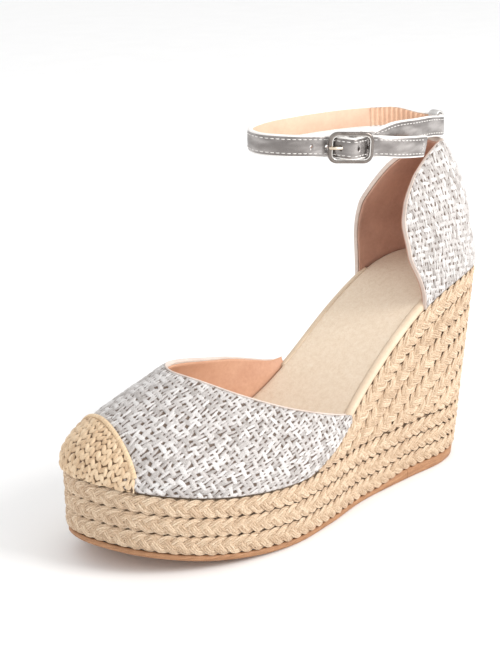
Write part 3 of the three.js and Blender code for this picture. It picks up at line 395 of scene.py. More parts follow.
def tube(centres, right, up, half_width, half_height, sides=10, closed=False, power=1.0):
    """Sweeps an ellipse, or a squarer section with a power under 1, along the centres.

    Returns the points, the faces and the UV coordinates.
    """
    count = len(centres)
    angle = np.linspace(0, 2 * np.pi, sides, endpoint=False)
    c, s = np.cos(angle), np.sin(angle)
    c, s = np.sign(c) * np.abs(c) ** power, np.sign(s) * np.abs(s) ** power
    half_width = np.broadcast_to(np.asarray(half_width, float), (count,))[:, None, None]
    half_height = np.broadcast_to(np.asarray(half_height, float), (count,))[:, None, None]
    rings = centres[:, None] + right[:, None] * half_width * c[None, :, None]
    rings = rings + up[:, None] * half_height * s[None, :, None]
    faces = [tuple(f) for f in grid_faces(count, sides, closed, True)]
    if not closed:
        faces.append(tuple(range(sides)))
        faces.append(tuple((count - 1) * sides + k for k in range(sides - 1, -1, -1)))
    length = np.concatenate([[0], np.cumsum(np.linalg.norm(np.diff(centres, axis=0), axis=1))])
    uv = np.stack(np.broadcast_arrays(length[:, None], (angle / (2 * np.pi))[None]), -1).reshape(-1, 2)
    return rings.reshape(-1, 3), faces, uv


class Parts:
    """Gathers several small closed solids into one mesh."""

    def __init__(self):
        self.points, self.faces, self.uv, self.tint, self.count = [], [], [], [], 0

    def add(self, points, faces, uv=None, tint=0.0):
        self.points.append(points)
        self.faces += [tuple(int(k) + self.count for k in f) for f in faces]
        self.uv.append(np.zeros((len(points), 2)) if uv is None else uv)
        self.tint.append(np.full(len(points), tint))
        self.count += len(points)

    def piece(self, name, material, body, node_names=(), slot=None):
        return new_mesh(
            name, np.concatenate(self.points), self.faces, material, body, node_names,
            attributes={"tint": np.concatenate(self.tint)}, uv=np.concatenate(self.uv),
        )


def stitch(centre, along, normal, length=1.9, radius=0.24, sides=6):
    """One short thread lying on a surface, dipping in at both ends."""
    share = np.linspace(-1, 1, 7)
    lift = np.cos(share * np.pi / 2) * radius * 1.1 - radius * 0.35
    centres = centre + np.outer(share * length / 2, along) + np.outer(lift, normal)
    right = np.cross(along, normal)
    swell = radius * (0.55 + 0.45 * np.cos(share * np.pi / 2))
    ones = np.ones((7, 1))
    return tube(centres, ones * right, ones * normal, swell, swell * 0.8, sides)


# ---- materials ----


def tone(red, green, blue):
    """A colour as it looks on a screen, as linear light."""
    return tuple(((c + 0.055) / 1.055) ** 2.4 for c in (red, green, blue))


class Nodes:
    """Shorthand for building a procedural material."""

    def __init__(self, name):
        self.material = bpy.data.materials.new(name)
        self.material.use_nodes = True
        self.tree = self.material.node_tree
        self.shader = self.tree.nodes["Principled BSDF"]

    def node(self, kind, inputs=None, **properties):
        made = self.tree.nodes.new(kind)
        for key, value in properties.items():
            setattr(made, key, value)
        for key, value in (inputs or {}).items():
            if isinstance(value, bpy.types.NodeSocket):
                self.tree.links.new(value, made.inputs[key])
            else:
                made.inputs[key].default_value = value
        return made

    def set(self, key, value):
        if isinstance(value, bpy.types.NodeSocket):
            self.tree.links.new(value, self.shader.inputs[key])
        else:
            self.shader.inputs[key].default_value = value

    def coordinates(self, scale=(1.0, 1.0, 1.0), source="Object"):
        """Coordinates in millimetres times the scale."""
        coords = self.node("ShaderNodeTexCoord")
        factor = 1000.0 if source == "Object" else 1.0
        mapping = self.node("ShaderNodeMapping", {"Vector": coords.outputs[source]})
        mapping.inputs["Scale"].default_value = tuple(factor * s for s in scale)
        return mapping.outputs["Vector"]

    def noise(self, vector, scale, detail=3.0, roughness=0.55, distortion=0.0):
        made = self.node("ShaderNodeTexNoise", {"Vector": vector, "Scale": scale, "Detail": detail})
        made.inputs["Roughness"].default_value = roughness
        made.inputs["Distortion"].default_value = distortion
        return made.outputs["Fac"]

    def voronoi(self, vector, scale, feature="F1", output="Distance", randomness=1.0):
        made = self.node("ShaderNodeTexVoronoi", {"Vector": vector, "Scale": scale}, feature=feature)
        made.inputs["Randomness"].default_value = randomness
        return made.outputs[output]

    def ramp(self, value, stops):
        made = self.node("ShaderNodeValToRGB", {"Fac": value})
        elements = made.color_ramp.elements
        while len(elements) < len(stops):
            elements.new(0.5)
        for element, (position, colour) in zip(elements, stops):
            element.position = position
            element.color = (*colour, 1.0) if len(colour) == 3 else colour
        return made.outputs["Color"]

    def mix(self, factor, a, b, blend="MIX"):
        made = self.node("ShaderNodeMix", data_type="RGBA", blend_type=blend)
        for index, value in ((0, factor), (6, a), (7, b)):
            if isinstance(value, bpy.types.NodeSocket):
                self.tree.links.new(value, made.inputs[index])
            elif index == 0:
                made.inputs[index].default_value = value
            else:
                made.inputs[index].default_value = (*value, 1.0)
        return made.outputs[2]

    def math(self, operation, a, b=0.5, clamp=False):
        made = self.node("ShaderNodeMath", operation=operation, use_clamp=clamp)
        for index, value in ((0, a), (1, b)):
            if isinstance(value, bpy.types.NodeSocket):
                self.tree.links.new(value, made.inputs[index])
            else:
                made.inputs[index].default_value = value
        return made.outputs[0]

    def attribute(self, name):
        return self.node("ShaderNodeAttribute", attribute_name=name).outputs["Fac"]

    def map_range(self, value, low, high, to_low, to_high):
        made = self.node("ShaderNodeMapRange", {"Value": value, "From Min": low, "From Max": high})
        made.inputs["To Min"].default_value = to_low
        made.inputs["To Max"].default_value = to_high
        return made.outputs["Result"]

    def bump(self, height, distance_mm, strength=1.0, normal=None):
        sizes = {"Height": height, "Distance": distance_mm * 0.001, "Strength": strength}
        made = self.node("ShaderNodeBump", sizes)
        if normal is not None:
            self.tree.links.new(normal, made.inputs["Normal"])
        return made.outputs["Normal"]


def jute_material(name, dark, middle, light):
    """Twisted plant fibre: streaks that lean along each yarn, with darker and paler yarns."""
    n = Nodes(name)
    turned = n.node("ShaderNodeMapping", {"Vector": n.coordinates((1.0, 1.0, 1.0), "UV")})
    turned.inputs["Rotation"].default_value = (0, 0, 0.45)
    drawn = n.node("ShaderNodeMapping", {"Vector": turned.outputs["Vector"]})
    drawn.inputs["Scale"].default_value = (0.45, 3.2, 1.0)
    streaks = n.noise(drawn.outputs["Vector"], 1.0, 4.0, 0.65)
    world = n.coordinates()
    blotches = n.noise(world, 0.09, 3.0)
    specks = n.noise(world, 1.5, 4.0, 0.7)
    value = n.math("ADD", n.math("MULTIPLY", streaks, 0.6), n.math("MULTIPLY", specks, 0.4))
    value = n.math("ADD", value, n.math("MULTIPLY", n.math("SUBTRACT", n.attribute("tint"), 0.5), 0.13))
    colour = n.ramp(value, [(0.30, dark), (0.48, middle), (0.66, light)])
    shift = n.ramp(blotches, [(0.3, (0.93, 0.90, 0.88)), (0.7, (1.0, 1.0, 1.0))])
    n.set("Base Color", n.mix(1.0, colour, shift, "MULTIPLY"))
    n.set("Roughness", 0.88)
    n.set("Specular IOR Level", 0.2)
    n.set("Sheen Weight", 0.15)
    n.set("Sheen Roughness", 0.5)
    n.set("Normal", n.bump(value, 0.35, 0.8))
    return n.material


def weave_material(name, painted_gap_shade, shade, light, bright, metallic):
    """Flat yarns: their own colour on their backs and painted shade in the gaps, read from the piece's own
    relief: where it is low, the dark gap colour stands in for the shade between the yarns.
    """
    n = Nodes(name)
    relief, tint, streak = n.attribute("relief"), n.attribute("tint"), n.attribute("streak")
    world = n.coordinates()
    fine = n.noise(world, 2.4, 4.0, 0.7)
    lines = n.node("ShaderNodeTexNoise", {"Scale": 5.5, "Detail": 3.0}, noise_dimensions="1D")
    n.tree.links.new(streak, lines.inputs["W"])
    mixed = n.math("ADD", n.math("MULTIPLY", tint, 0.3), n.math("MULTIPLY", lines.outputs["Fac"], 0.7))
    mixed = n.math("ADD", n.math("MULTIPLY", mixed, 0.65), n.math("MULTIPLY", fine, 0.35))
    yarn = n.ramp(mixed, [(0.33, shade), (0.5, light), (0.68, bright)])
    # Painted shade: low relief mixes in the dark gap colour, for the shade that falls in the recesses
    # between the yarns.
    depth = n.map_range(relief, 0.12, 0.5, 0.0, 1.0)
    n.set("Base Color", n.mix(depth, painted_gap_shade, yarn))
    n.set("Metallic", n.math("MULTIPLY", depth, metallic))
    n.set("Roughness", n.map_range(fine, 0.3, 0.7, 0.36, 0.6))
    height = n.math("ADD", n.math("MULTIPLY", lines.outputs["Fac"], 0.6), n.math("MULTIPLY", fine, 0.4))
    n.set("Normal", n.bump(height, 0.22, 0.8))
    return n.material


def foil_material(name, dark, middle, light):
    """Silver foil leather: fine creases, small grain and slightly uneven brightness."""
    n = Nodes(name)
    world = n.coordinates()
    creases = n.noise(world, 0.8, 5.0, 0.6, 0.6)
    grain = n.voronoi(world, 2.6)
    mottling = n.noise(n.coordinates((1.0, 1.0, 3.0)), 0.07, 2.0, 0.5)
    colour = n.ramp(mottling, [(0.36, dark), (0.5, middle), (0.64, light)])
    n.set("Base Color", colour)
    n.set("Metallic", 0.82)
    n.set("Roughness", n.map_range(creases, 0.3, 0.7, 0.24, 0.42))
    first = n.bump(grain, 0.05, 0.35)
    n.set("Normal", n.bump(creases, 0.16, 0.55, first))
    return n.material


def leather_material(name, dark, light, grain_scale=2.2, rough=0.55, depth=0.06):
    """Smooth lining leather with pores, faint creases and uneven tone."""
    n = Nodes(name)
    world = n.coordinates()
    broad = n.noise(world, 0.05, 4.0, 0.6)
    fine = n.noise(world, 0.7, 5.0, 0.65)
    grain = n.voronoi(world, grain_scale, "SMOOTH_F1")
    mixed = n.math("ADD", n.math("MULTIPLY", broad, 0.7), n.math("MULTIPLY", fine, 0.3))
    n.set("Base Color", n.ramp(mixed, [(0.33, dark), (0.67, light)]))
    n.set("Roughness", n.map_range(fine, 0.3, 0.7, rough - 0.07, rough + 0.09))
    n.set("Specular IOR Level", 0.4)
    first = n.bump(grain, depth, 0.5)
    n.set("Normal", n.bump(fine, 0.12, 0.4, first))
    return n.material


def suede_material(name, dark, middle, light):
    """Brushed nap: soft mottling at two sizes, short fibres and a sheen."""
    n = Nodes(name)
    world = n.coordinates()
    nap = n.noise(world, 0.45, 6.0, 0.7, 0.2)
    fibres = n.noise(n.coordinates((1.0, 1.5, 1.0)), 2.6, 6.0, 0.75)
    mixed = n.math("ADD", n.math("MULTIPLY", nap, 0.35), n.math("MULTIPLY", fibres, 0.65))
    n.set("Base Color", n.ramp(mixed, [(0.36, dark), (0.5, middle), (0.64, light)]))
    n.set("Roughness", 0.95)
    n.set("Specular IOR Level", 0.12)
    n.set("Sheen Weight", 0.35)
    n.set("Sheen Roughness", 0.45)
    n.set("Normal", n.bump(fibres, 0.3, 0.7))
    return n.material


def rubber_material(name):
    """Sole rubber: tan brown, fine mould texture, slightly scuffed."""
    n = Nodes(name)
    world = n.coordinates()
    scuffs = n.noise(n.coordinates((0.25, 0.25, 2.0)), 0.8, 5.0, 0.6)
    specks = n.noise(world, 2.6, 4.0, 0.6)
    mixed = n.math("ADD", n.math("MULTIPLY", scuffs, 0.6), n.math("MULTIPLY", specks, 0.4))
    tones = [(0.34, tone(0.54, 0.38, 0.26)), (0.52, tone(0.66, 0.485, 0.35)), (0.68, tone(0.77, 0.60, 0.46))]
    n.set("Base Color", n.ramp(mixed, tones))
    n.set("Roughness", n.map_range(scuffs, 0.3, 0.7, 0.5, 0.68))
    n.set("Specular IOR Level", 0.35)
    n.set("Normal", n.bump(specks, 0.12, 0.5))
    return n.material


def metal_material(name, dark, light, rough):
    """Plated metal with faint brushing and worn, slightly duller patches."""
    n = Nodes(name)
    world = n.coordinates()
    wear = n.noise(world, 0.2, 2.0, 0.5)
    brushing = n.noise(n.coordinates((1.0, 1.0, 7.0)), 2.2, 3.0, 0.5)
    n.set("Base Color", n.ramp(wear, [(0.35, dark), (0.65, light)]))
    n.set("Metallic", 1.0)
    n.set("Roughness", n.map_range(wear, 0.3, 0.7, rough, rough + 0.12))
    n.set("Normal", n.bump(brushing, 0.02, 0.3))
    return n.material


def plain_fibre_material(name, dark, light, scale=1.2, rough=0.85):
    """Pressed board, foam, cork and cloth that stay inside the shoe."""
    n = Nodes(name)
    world = n.coordinates()
    fine = n.noise(world, scale, 5.0, 0.7)
    cells = n.voronoi(world, scale * 0.8)
    mixed = n.math("ADD", n.math("MULTIPLY", fine, 0.65), n.math("MULTIPLY", cells, 0.35))
    n.set("Base Color", n.ramp(mixed, [(0.3, dark), (0.65, light)]))
    n.set("Roughness", rough)
    n.set("Normal", n.bump(mixed, 0.15, 0.6))
    return n.material


JUTE = jute_material(
    "jute", tone(0.58, 0.475, 0.38), tone(0.81, 0.71, 0.60), tone(0.95, 0.885, 0.79),
)
# The first colour given to each weave is painted shade for the gaps between its yarns.
STRAW = weave_material(
    "straw", tone(0.42, 0.31, 0.21), tone(0.72, 0.59, 0.46), tone(0.87, 0.755, 0.615),
    tone(0.95, 0.86, 0.74), 0.0,
)
STRAW_CORD = jute_material(
    "straw_cord", tone(0.72, 0.59, 0.46), tone(0.88, 0.775, 0.635), tone(0.94, 0.86, 0.74),
)
# The first colour here is painted shade for the gaps between the tapes.
SILVER_WEAVE = weave_material(
    "silver_weave", tone(0.40, 0.33, 0.28), tone(0.58, 0.55, 0.53), tone(0.80, 0.78, 0.77),
    tone(0.96, 0.955, 0.95), 0.35,
)
SILVER = foil_material(
    "silver_leather", tone(0.50, 0.48, 0.47), tone(0.58, 0.56, 0.55), tone(0.70, 0.68, 0.67),
)
EDGE = leather_material("pale_edge", tone(0.80, 0.71, 0.61), tone(0.89, 0.81, 0.71))
NUDE = leather_material("nude_lining", tone(0.76, 0.56, 0.45), tone(0.86, 0.68, 0.565))
NUDE_EDGE = leather_material("nude_edge", tone(0.78, 0.71, 0.67), tone(0.89, 0.84, 0.80))
# A darker copy of the nude lining for inside the heel cup: painted shade for the cup's hollow.
SHADED_CUP_LINING = leather_material("cup_lining_painted_shade", tone(0.71, 0.55, 0.48), tone(0.83, 0.66, 0.58))
STRAP_NUDE = leather_material("strap_lining", tone(0.84, 0.69, 0.59), tone(0.92, 0.79, 0.69))
SUEDE = suede_material(
    "suede_sock", tone(0.85, 0.76, 0.65), tone(0.92, 0.845, 0.75), tone(0.96, 0.905, 0.83),
)
RUBBER = rubber_material("tan_rubber")
NICKEL = metal_material("nickel", tone(0.45, 0.42, 0.40), tone(0.55, 0.52, 0.50), 0.2)
# Much paler nickel, used only for the painted highlight along the buckle's inner edge.
HIGHLIGHT_NICKEL = metal_material(
    "painted_highlight_nickel", tone(0.84, 0.83, 0.81), tone(0.93, 0.92, 0.91), 0.15,
)
PALE_GOLD = metal_material("pale_gold", tone(0.80, 0.74, 0.66), tone(0.93, 0.89, 0.83), 0.2)
THREAD = plain_fibre_material("thread", tone(0.80, 0.78, 0.76), tone(0.95, 0.94, 0.93), 3.0, 0.7)
ELASTIC = leather_material("elastic", tone(0.84, 0.68, 0.57), tone(0.95, 0.82, 0.71), 1.6, 0.7, 0.1)
CORK = plain_fibre_material("cork", tone(0.58, 0.42, 0.29), tone(0.78, 0.63, 0.47), 0.7)
BOARD = plain_fibre_material("board", tone(0.66, 0.57, 0.46), tone(0.78, 0.70, 0.60), 1.4)
FOAM = plain_fibre_material("foam", tone(0.88, 0.85, 0.78), tone(0.95, 0.93, 0.88), 1.8)
CLOTH = plain_fibre_material("interlining", tone(0.85, 0.83, 0.79), tone(0.93, 0.92, 0.89), 2.2)
STEEL = metal_material("steel", tone(0.55, 0.56, 0.58), tone(0.72, 0.73, 0.75), 0.3)
EDGE_WHITE = leather_material(
    "edge_white", tone(0.90, 0.885, 0.87), tone(0.97, 0.96, 0.95), 3.0, 0.42, 0.03,
)
LOOP_LEATHER = foil_material(
    "loop_leather", tone(0.62, 0.60, 0.59), tone(0.80, 0.79, 0.78), tone(0.93, 0.93, 0.92),
)


# ---- sole ----


def plate(inward, bottom_at, top_at, steps, rounding):
    """The rim rows of a full-outline plate with rounded edges, and its floor and roof sheets."""
    share = np.arange(steps) / steps
    rows = []
    for level, extra in ((0.0, rounding), (0.0, 0.0), (1.0, 0.0), (1.0, rounding)):
        height = lambda x, k=level: lerp(bottom_at(x), top_at(x), k)
        rows.append(outline_point(share, inward + extra, height))
    edge = min(rounding, 0.45 * float(np.min(rows[2][:, 2] - rows[1][:, 2])))
    rows[1][:, 2] += edge
    rows[2][:, 2] -= edge
    half = steps // 2
    inner_rows = []
    for level in (0.0, 1.0):
        rim = rows[0] if level == 0 else rows[3]
        left, right = rim[: half + 1], np.concatenate([rim[:1], rim[:half - 1:-1]])
        width = np.linspace(0, 1, 25)[None, :, None]
        surface = left[:, None] * (1 - width) + right[:, None] * width
        height = bottom_at if level == 0 else top_at
        surface[1:-1, 1:-1, 2] = height(surface[1:-1, 1:-1, 0])
        inner_rows.append(surface)
    return rows, inner_rows


def plate_piece(
    name, inward, bottom_at, top_at, material, body, nodes, rounding=0.5, dish=0.0, steps=420,
):
    """A full-outline plate: rounded rim, ruled floor and roof, with an optional hollow for the foot."""
    rows, (floor, roof) = plate(inward, bottom_at, top_at, steps, rounding)
    if dish:
        across = np.linspace(-1, 1, roof.shape[1])
        along = np.sin(np.linspace(0, np.pi, roof.shape[0]))[:, None] ** 0.5
        roof[..., 2] -= dish * (1 - across[None] ** 2) * along
    half = steps // 2
    points = [rows[0], rows[1], rows[2], rows[3]]
    count = steps * 4
    faces = []
    for r in range(3):
        for i in range(steps):
            k = (i + 1) % steps
            faces.append((r * steps + i, r * steps + k, (r + 1) * steps + k, (r + 1) * steps + i))
    columns = floor.shape[1]
    for which, surface in ((0, floor), (3, roof)):
        index = np.zeros((half + 1, columns), int)
        fresh = surface[1:-1, 1:-1].reshape(-1, 3)
        index[1:-1, 1:-1] = count + np.arange(len(fresh)).reshape(half - 1, columns - 2)
        index[:, 0] = which * steps + np.arange(half + 1) % steps
        index[:, -1] = which * steps + (steps - np.arange(half + 1)) % steps
        index[0, :] = which * steps
        index[-1, :] = which * steps + half
        points.append(fresh)
        count += len(fresh)
        for i in range(half):
            for j in range(columns - 1):
                ring = [index[i, j], index[i, j + 1], index[i + 1, j + 1], index[i + 1, j]]
                ring = [v for k, v in enumerate(ring) if v != ring[k - 1]]
                if len(ring) > 2:
                    faces.append(tuple(ring if which == 3 else ring[::-1]))
    return new_mesh(name, np.concatenate(points), faces, material, body, nodes)


def recalculate(piece):
    """Turns every face of a closed piece outward."""
    work = bmesh.new()
    work.from_mesh(piece.data)
    bmesh.ops.recalc_face_normals(work, faces=work.faces)
    work.to_mesh(piece.data)
    work.free()
    return piece


STRAND_PERIOD = 16.5
YARNS_PER_STRAND = 4
STRAND_SHARE = 0.45
SWAY_SHARE = 0.71
STRAND_DEPTH = 0.5
STRAND_BACK = 1.15
YARN_HEIGHT = 0.5
YARN_WIDTH_SHARE = 0.31
BACKING_GAP = 1.3
BACKING_THICKNESS = 0.7


def braid_strands(name, centre_at, out_at, up_at, start, end, half_width, closed, nodes):
    """A flat three-strand plait along a path given by distance.

    Each strand is four yarns lying side by side.
    """
    length = end - start
    turns = max(1, round(length / STRAND_PERIOD))
    steps = int(length / 1.15)
    distance = np.linspace(start, end, steps, endpoint=not closed)
    parts = Parts()
    centre, out, up = centre_at(distance), out_at(distance), up_at(distance)
    half = half_width(distance)
    phase_step = 2 * np.pi * turns / length
    whole = 2 * np.pi / length
    for strand in range(3):
        phase = (distance - start) * phase_step + strand * 2 * np.pi / 3
        phase = phase + 0.14 * np.sin(whole * 23 * (distance - start) + strand * 1.9)
        sway = np.sin(phase)
        width = STRAND_SHARE * half * (1 - 0.25 * sway**2)
        depth = -STRAND_DEPTH * np.sin(2 * phase) * np.clip(half / 2, 0.3, 1) - STRAND_BACK
        middle = centre + up * (sway * SWAY_SHARE * half)[:, None] + out * depth[:, None]
        run = np.gradient(middle, axis=0)
        if closed:
            run = np.roll(middle, -1, 0) - np.roll(middle, 1, 0)
        run = unit(run)
        normal = unit(out - run * np.sum(out * run, -1, keepdims=True))
        right = np.cross(run, normal)
        for yarn in range(YARNS_PER_STRAND):
            share = (yarn - 1.5) / 1.5
            turn = rng.random(3) * 2 * np.pi
            loose = 0.07 * np.sin(whole * 61 * distance + turn[0])
            loose = loose + 0.05 * np.sin(whole * 143 * distance + turn[1])
            offset = share * width * 0.77 + loose
            lift = -0.2 * share**2 + 0.06 * np.sin(whole * 97 * distance + turn[2])
            line = middle + right * offset[:, None] + normal * lift[:, None]
            swell = 1 + 0.10 * np.sin(whole * 181 * distance + turn[1])
            yarn_width, yarn_height = width * YARN_WIDTH_SHARE * swell, YARN_HEIGHT * swell
            points, faces, uv = tube(line, right, normal, yarn_width, yarn_height, 7, closed)
            uv[:, 0] += 37.0 * strand + 11.0 * yarn
            uv[:, 1] *= 3.1
            parts.add(points, faces, uv, rng.random())
    backing_depth = STRAND_BACK + BACKING_GAP
    back = centre - out * backing_depth
    points, faces, uv = tube(back, up, out, half * 1.3, BACKING_THICKNESS, 4, closed)
    # Painted shade: the backing behind the strands gets a dark tint (-0.5), so the gaps between strands and
    # rows look shaded.
    parts.add(points, faces, uv, -0.5)
    return parts.piece(name, JUTE, "shoe", nodes, "jute")


def platform_row(row):
    def level(x, share):
        return lerp(braid_base(x), PLATFORM_HEIGHT + toe_spring(x), share / PLATFORM_ROWS)

    share = np.linspace(0, 1, 1400, endpoint=False)
    low = outline_point(share, 0.0, lambda x: level(x, row))
    high = outline_point(share, 0.0, lambda x: level(x, row + 1) - FIT_GAP)
    inside = outline_point(share, 2.0, lambda x: level(x, row + 0.5))
    return braid_along(f"platform_braid_{row + 1}", low, high, inside, True)


def braid_along(name, low, high, inside, closed):
    """A plait that fills the band between two edge lines."""
    centre = (low + high) / 2
    run = unit(np.gradient(centre, axis=0))
    if closed:
        run = unit(np.roll(centre, -1, 0) - np.roll(centre, 1, 0))
    rise = high - low
    rise = rise - run * np.sum(rise * run, -1, keepdims=True)
    up, height = unit(rise), np.linalg.norm(rise, axis=-1)
    out = np.cross(up, run)
    out = out * np.sign(np.sum(out * (centre - inside), -1, keepdims=True))
    if closed:
        low, high = (np.concatenate([a, a[:1]]) for a in (low, high))
        centre, up, out = (np.concatenate([a, a[:1]]) for a in (centre, up, out))
        height = np.concatenate([height, height[:1]])
    distance = np.concatenate([[0], np.cumsum(np.linalg.norm(np.diff(centre, axis=0), axis=1))])

    def read(table):
        return lambda d: np.stack([np.interp(d, distance, table[:, k]) for k in range(3)], -1)

    return braid_strands(
        name, read(centre), lambda d: unit(read(out)(d)), lambda d: unit(read(up)(d)),
        0.0, float(distance[-1]), lambda d: np.maximum(np.interp(d, distance, height), 0.8) * 0.5,
        closed, [name],
    )


WEDGE_ROW_WIDTH = (WEDGE_HEIGHT - PLATFORM_HEIGHT) / WEDGE_ROWS


def parallel_line(distance):
    """Height of the line a set distance below the braid's top edge, measured square to that edge."""
    x = np.arange(-10, WEDGE_FALL_LENGTH + 61)
    slope = braid_top(x + 0.5) - braid_top(x - 0.5)
    length = np.hypot(1, slope)
    along, height = x + distance * slope / length, braid_top(x) - distance / length
    return lambda at: np.interp(at, along, height)


def wedge_row(row):
    upper, lower = parallel_line(row * WEDGE_ROW_WIDTH), parallel_line((row + 1) * WEDGE_ROW_WIDTH)

    def top_at(x):
        return upper(x) - (0 if row == 0 else FIT_GAP)

    def bottom_at(x):
        return np.maximum(lower(x), PLATFORM_HEIGHT)

    reach = 0.0
    tip = 1.4
    while reach < WEDGE_FALL_LENGTH:
        leaned = reach + lean(reach, PLATFORM_HEIGHT)
        if top_at(leaned) - bottom_at(leaned) <= tip:
            break
        reach += 0.5
    share = np.linspace(side_parameter(reach, -1) - 1, side_parameter(reach, 1), 1100)
    low = outline_point(share, 0.0, bottom_at)
    high = outline_point(share, 0.0, top_at)
    inside = outline_point(share, 2.0, lambda x: (bottom_at(x) + top_at(x)) / 2)
    return braid_along(f"wedge_braid_{row + 1}", low, high, inside, False)


def make_sole():
    """The outsole and the thicker lift under the heel: one outline, cut across at the lift's front."""
    for name, keep_front in (("outsole", True), ("heel_lift", False)):
        piece = plate_piece(
            name, SOLE_INSET, toe_spring, lambda x: braid_base(x) - FIT_GAP, RUBBER, "shoe", [name],
            rounding=0.6, steps=360,
        )
        cut = HEEL_LEAN + HEEL_LIFT_LENGTH + (FIT_GAP if keep_front else 0)
        slice_piece(piece, to_row([cut, 0, 0]), (1, 0, 0), keep_front)


def slice_piece(piece, point, normal, keep_positive):
    """Cuts a closed piece with a plane, keeps one side and closes the cut."""
    work = bmesh.new()
    work.from_mesh(piece.data)
    geometry = work.verts[:] + work.edges[:] + work.faces[:]
    bmesh.ops.bisect_plane(
        work, geom=geometry, plane_co=tuple(point), plane_no=normal, clear_inner=keep_positive,
        clear_outer=not keep_positive,
    )
    open_edges = [e for e in work.edges if e.is_boundary]
    bmesh.ops.contextual_create(work, geom=open_edges)
    bmesh.ops.recalc_face_normals(work, faces=work.faces)
    work.to_mesh(piece.data)
    work.free()


def make_insole():
    sock = plate_piece(
        "sock_lining", SOCK_INSET, lambda x: braid_top(x) + SOCK_LEVEL,
        lambda x: braid_top(x) + SOCK_TOP_LEVEL, SUEDE, "shoe", ["sock_lining"],
        rounding=0.35, dish=0.9,
    )
    recalculate(sock)
    for side in (1, -1):
        insole_binding(side)


def insole_binding(side):
    """The pale strip that wraps the insole's edge between the heel cup and the vamp."""
    name = "insole_binding_outer" if side > 0 else "insole_binding_inner"
    back = COUNTER_FRONT_OUTER if side > 0 else COUNTER_FRONT_INNER
    front = SHOE_LENGTH - (VAMP_REAR_OUTER_FROM_TOE if side > 0 else VAMP_REAR_INNER_FROM_TOE)
    u = np.linspace(side_parameter(back - 3, side), side_parameter(front + 2, side), 90)
    profile = [
        (SOCK_INSET + 0.9, SOCK_TOP_LEVEL - 0.3), (SOCK_INSET + 0.8, SOCK_TOP_LEVEL + 0.32),
        (SOCK_INSET, 3.72), (SOCK_INSET - 1.0, 3.62), (SOCK_INSET - 1.9, 3.15), (SOCK_INSET - 2.5, 2.3),
        (SOCK_INSET - 2.75, 1.2), (SOCK_INSET - 2.7, 0.32), (SOCK_INSET - 1.6, 0.3),
        (SOCK_INSET - 0.3, 0.3), (SOCK_INSET + 0.1, 2.0),
    ]
    rings = [outline_point(u, inward, lambda x, h=height: braid_top(x) + h) for inward, height in profile]
    grid = np.stack(rings, 1)
    faces = [tuple(f) for f in grid_faces(len(u), len(profile), False, True)]
    first, count = (len(u) - 1) * len(profile), len(profile)
    faces += [tuple(range(count)), tuple(first + k for k in range(count))]
    recalculate(new_mesh(name, grid.reshape(-1, 3), faces, EDGE, "shoe", [name]))


# ---- upper ----


def edge_length(grid):
    """The summed length of a grid's edges, both ways."""
    return sum(np.linalg.norm(np.diff(grid, axis=axis), axis=-1).sum() for axis in (0, 1))


def flatten(grid, angle):
    """Lays a curved grid out flat with little stretch.

    Returns even coordinates in mm, turned by the angle.
    """
    rows, columns = grid.shape[:2]
    mesh = bpy.data.meshes.new("flat")
    mesh.from_pydata(grid.reshape(-1, 3).tolist(), [], grid_faces(rows, columns).tolist())
    mesh.uv_layers.new(name="UVMap")
    piece = bpy.data.objects.new("flat", mesh)
    bpy.context.scene.collection.objects.link(piece)
    bpy.context.view_layer.objects.active = piece
    piece.select_set(True)
    bpy.ops.object.mode_set(mode="EDIT")
    bpy.ops.mesh.select_all(action="SELECT")
    bpy.ops.uv.unwrap(method="ANGLE_BASED", margin=0.0)
    bpy.ops.object.mode_set(mode="OBJECT")
    uv = np.zeros(len(mesh.loops) * 2, np.float32)
    mesh.uv_layers[0].data.foreach_get("uv", uv)
    index = np.zeros(len(mesh.loops), np.int32)
    mesh.loops.foreach_get("vertex_index", index)
    flat = np.zeros((rows * columns, 2))
    flat[index] = uv.reshape(-1, 2)
    flat = flat.reshape(rows, columns, 2)
    bpy.data.objects.remove(piece)
    bpy.data.meshes.remove(mesh)
    flat *= edge_length(grid) / edge_length(flat)
    middle, high = flat[rows // 2, 0], flat[rows // 2, -1]
    away = unit(high - middle)
    turn = np.array([[away[1], -away[0]], [away[0], away[1]]])
    flat = (flat - middle) @ turn.T
    c, s = math.cos(angle), math.sin(angle)
    return flat @ np.array([[c, -s], [s, c]])


def stretch_map(coarse, rows, columns):
    """A coarse table of coordinates read at every point of a finer grid."""
    a, b = coarse.shape[:2]
    i, j = np.linspace(0, a - 1, rows), np.linspace(0, b - 1, columns)
    i0, j0 = np.minimum(i.astype(int), a - 2), np.minimum(j.astype(int), b - 2)
    fi, fj = (i - i0)[:, None, None], (j - j0)[None, :, None]
    corner = [coarse[np.ix_(i0 + p, j0 + q)] for p, q in ((0, 0), (1, 0), (0, 1), (1, 1))]
    return lerp(lerp(corner[0], corner[1], fi), lerp(corner[2], corner[3], fi), fj)


def hashed(i, j, seed):
    """A repeatable number from 0 to 1 for each cell."""
    value = np.sin(i * 127.1 + j * 311.7 + seed * 74.7) * 43758.5453
    return value - np.floor(value)


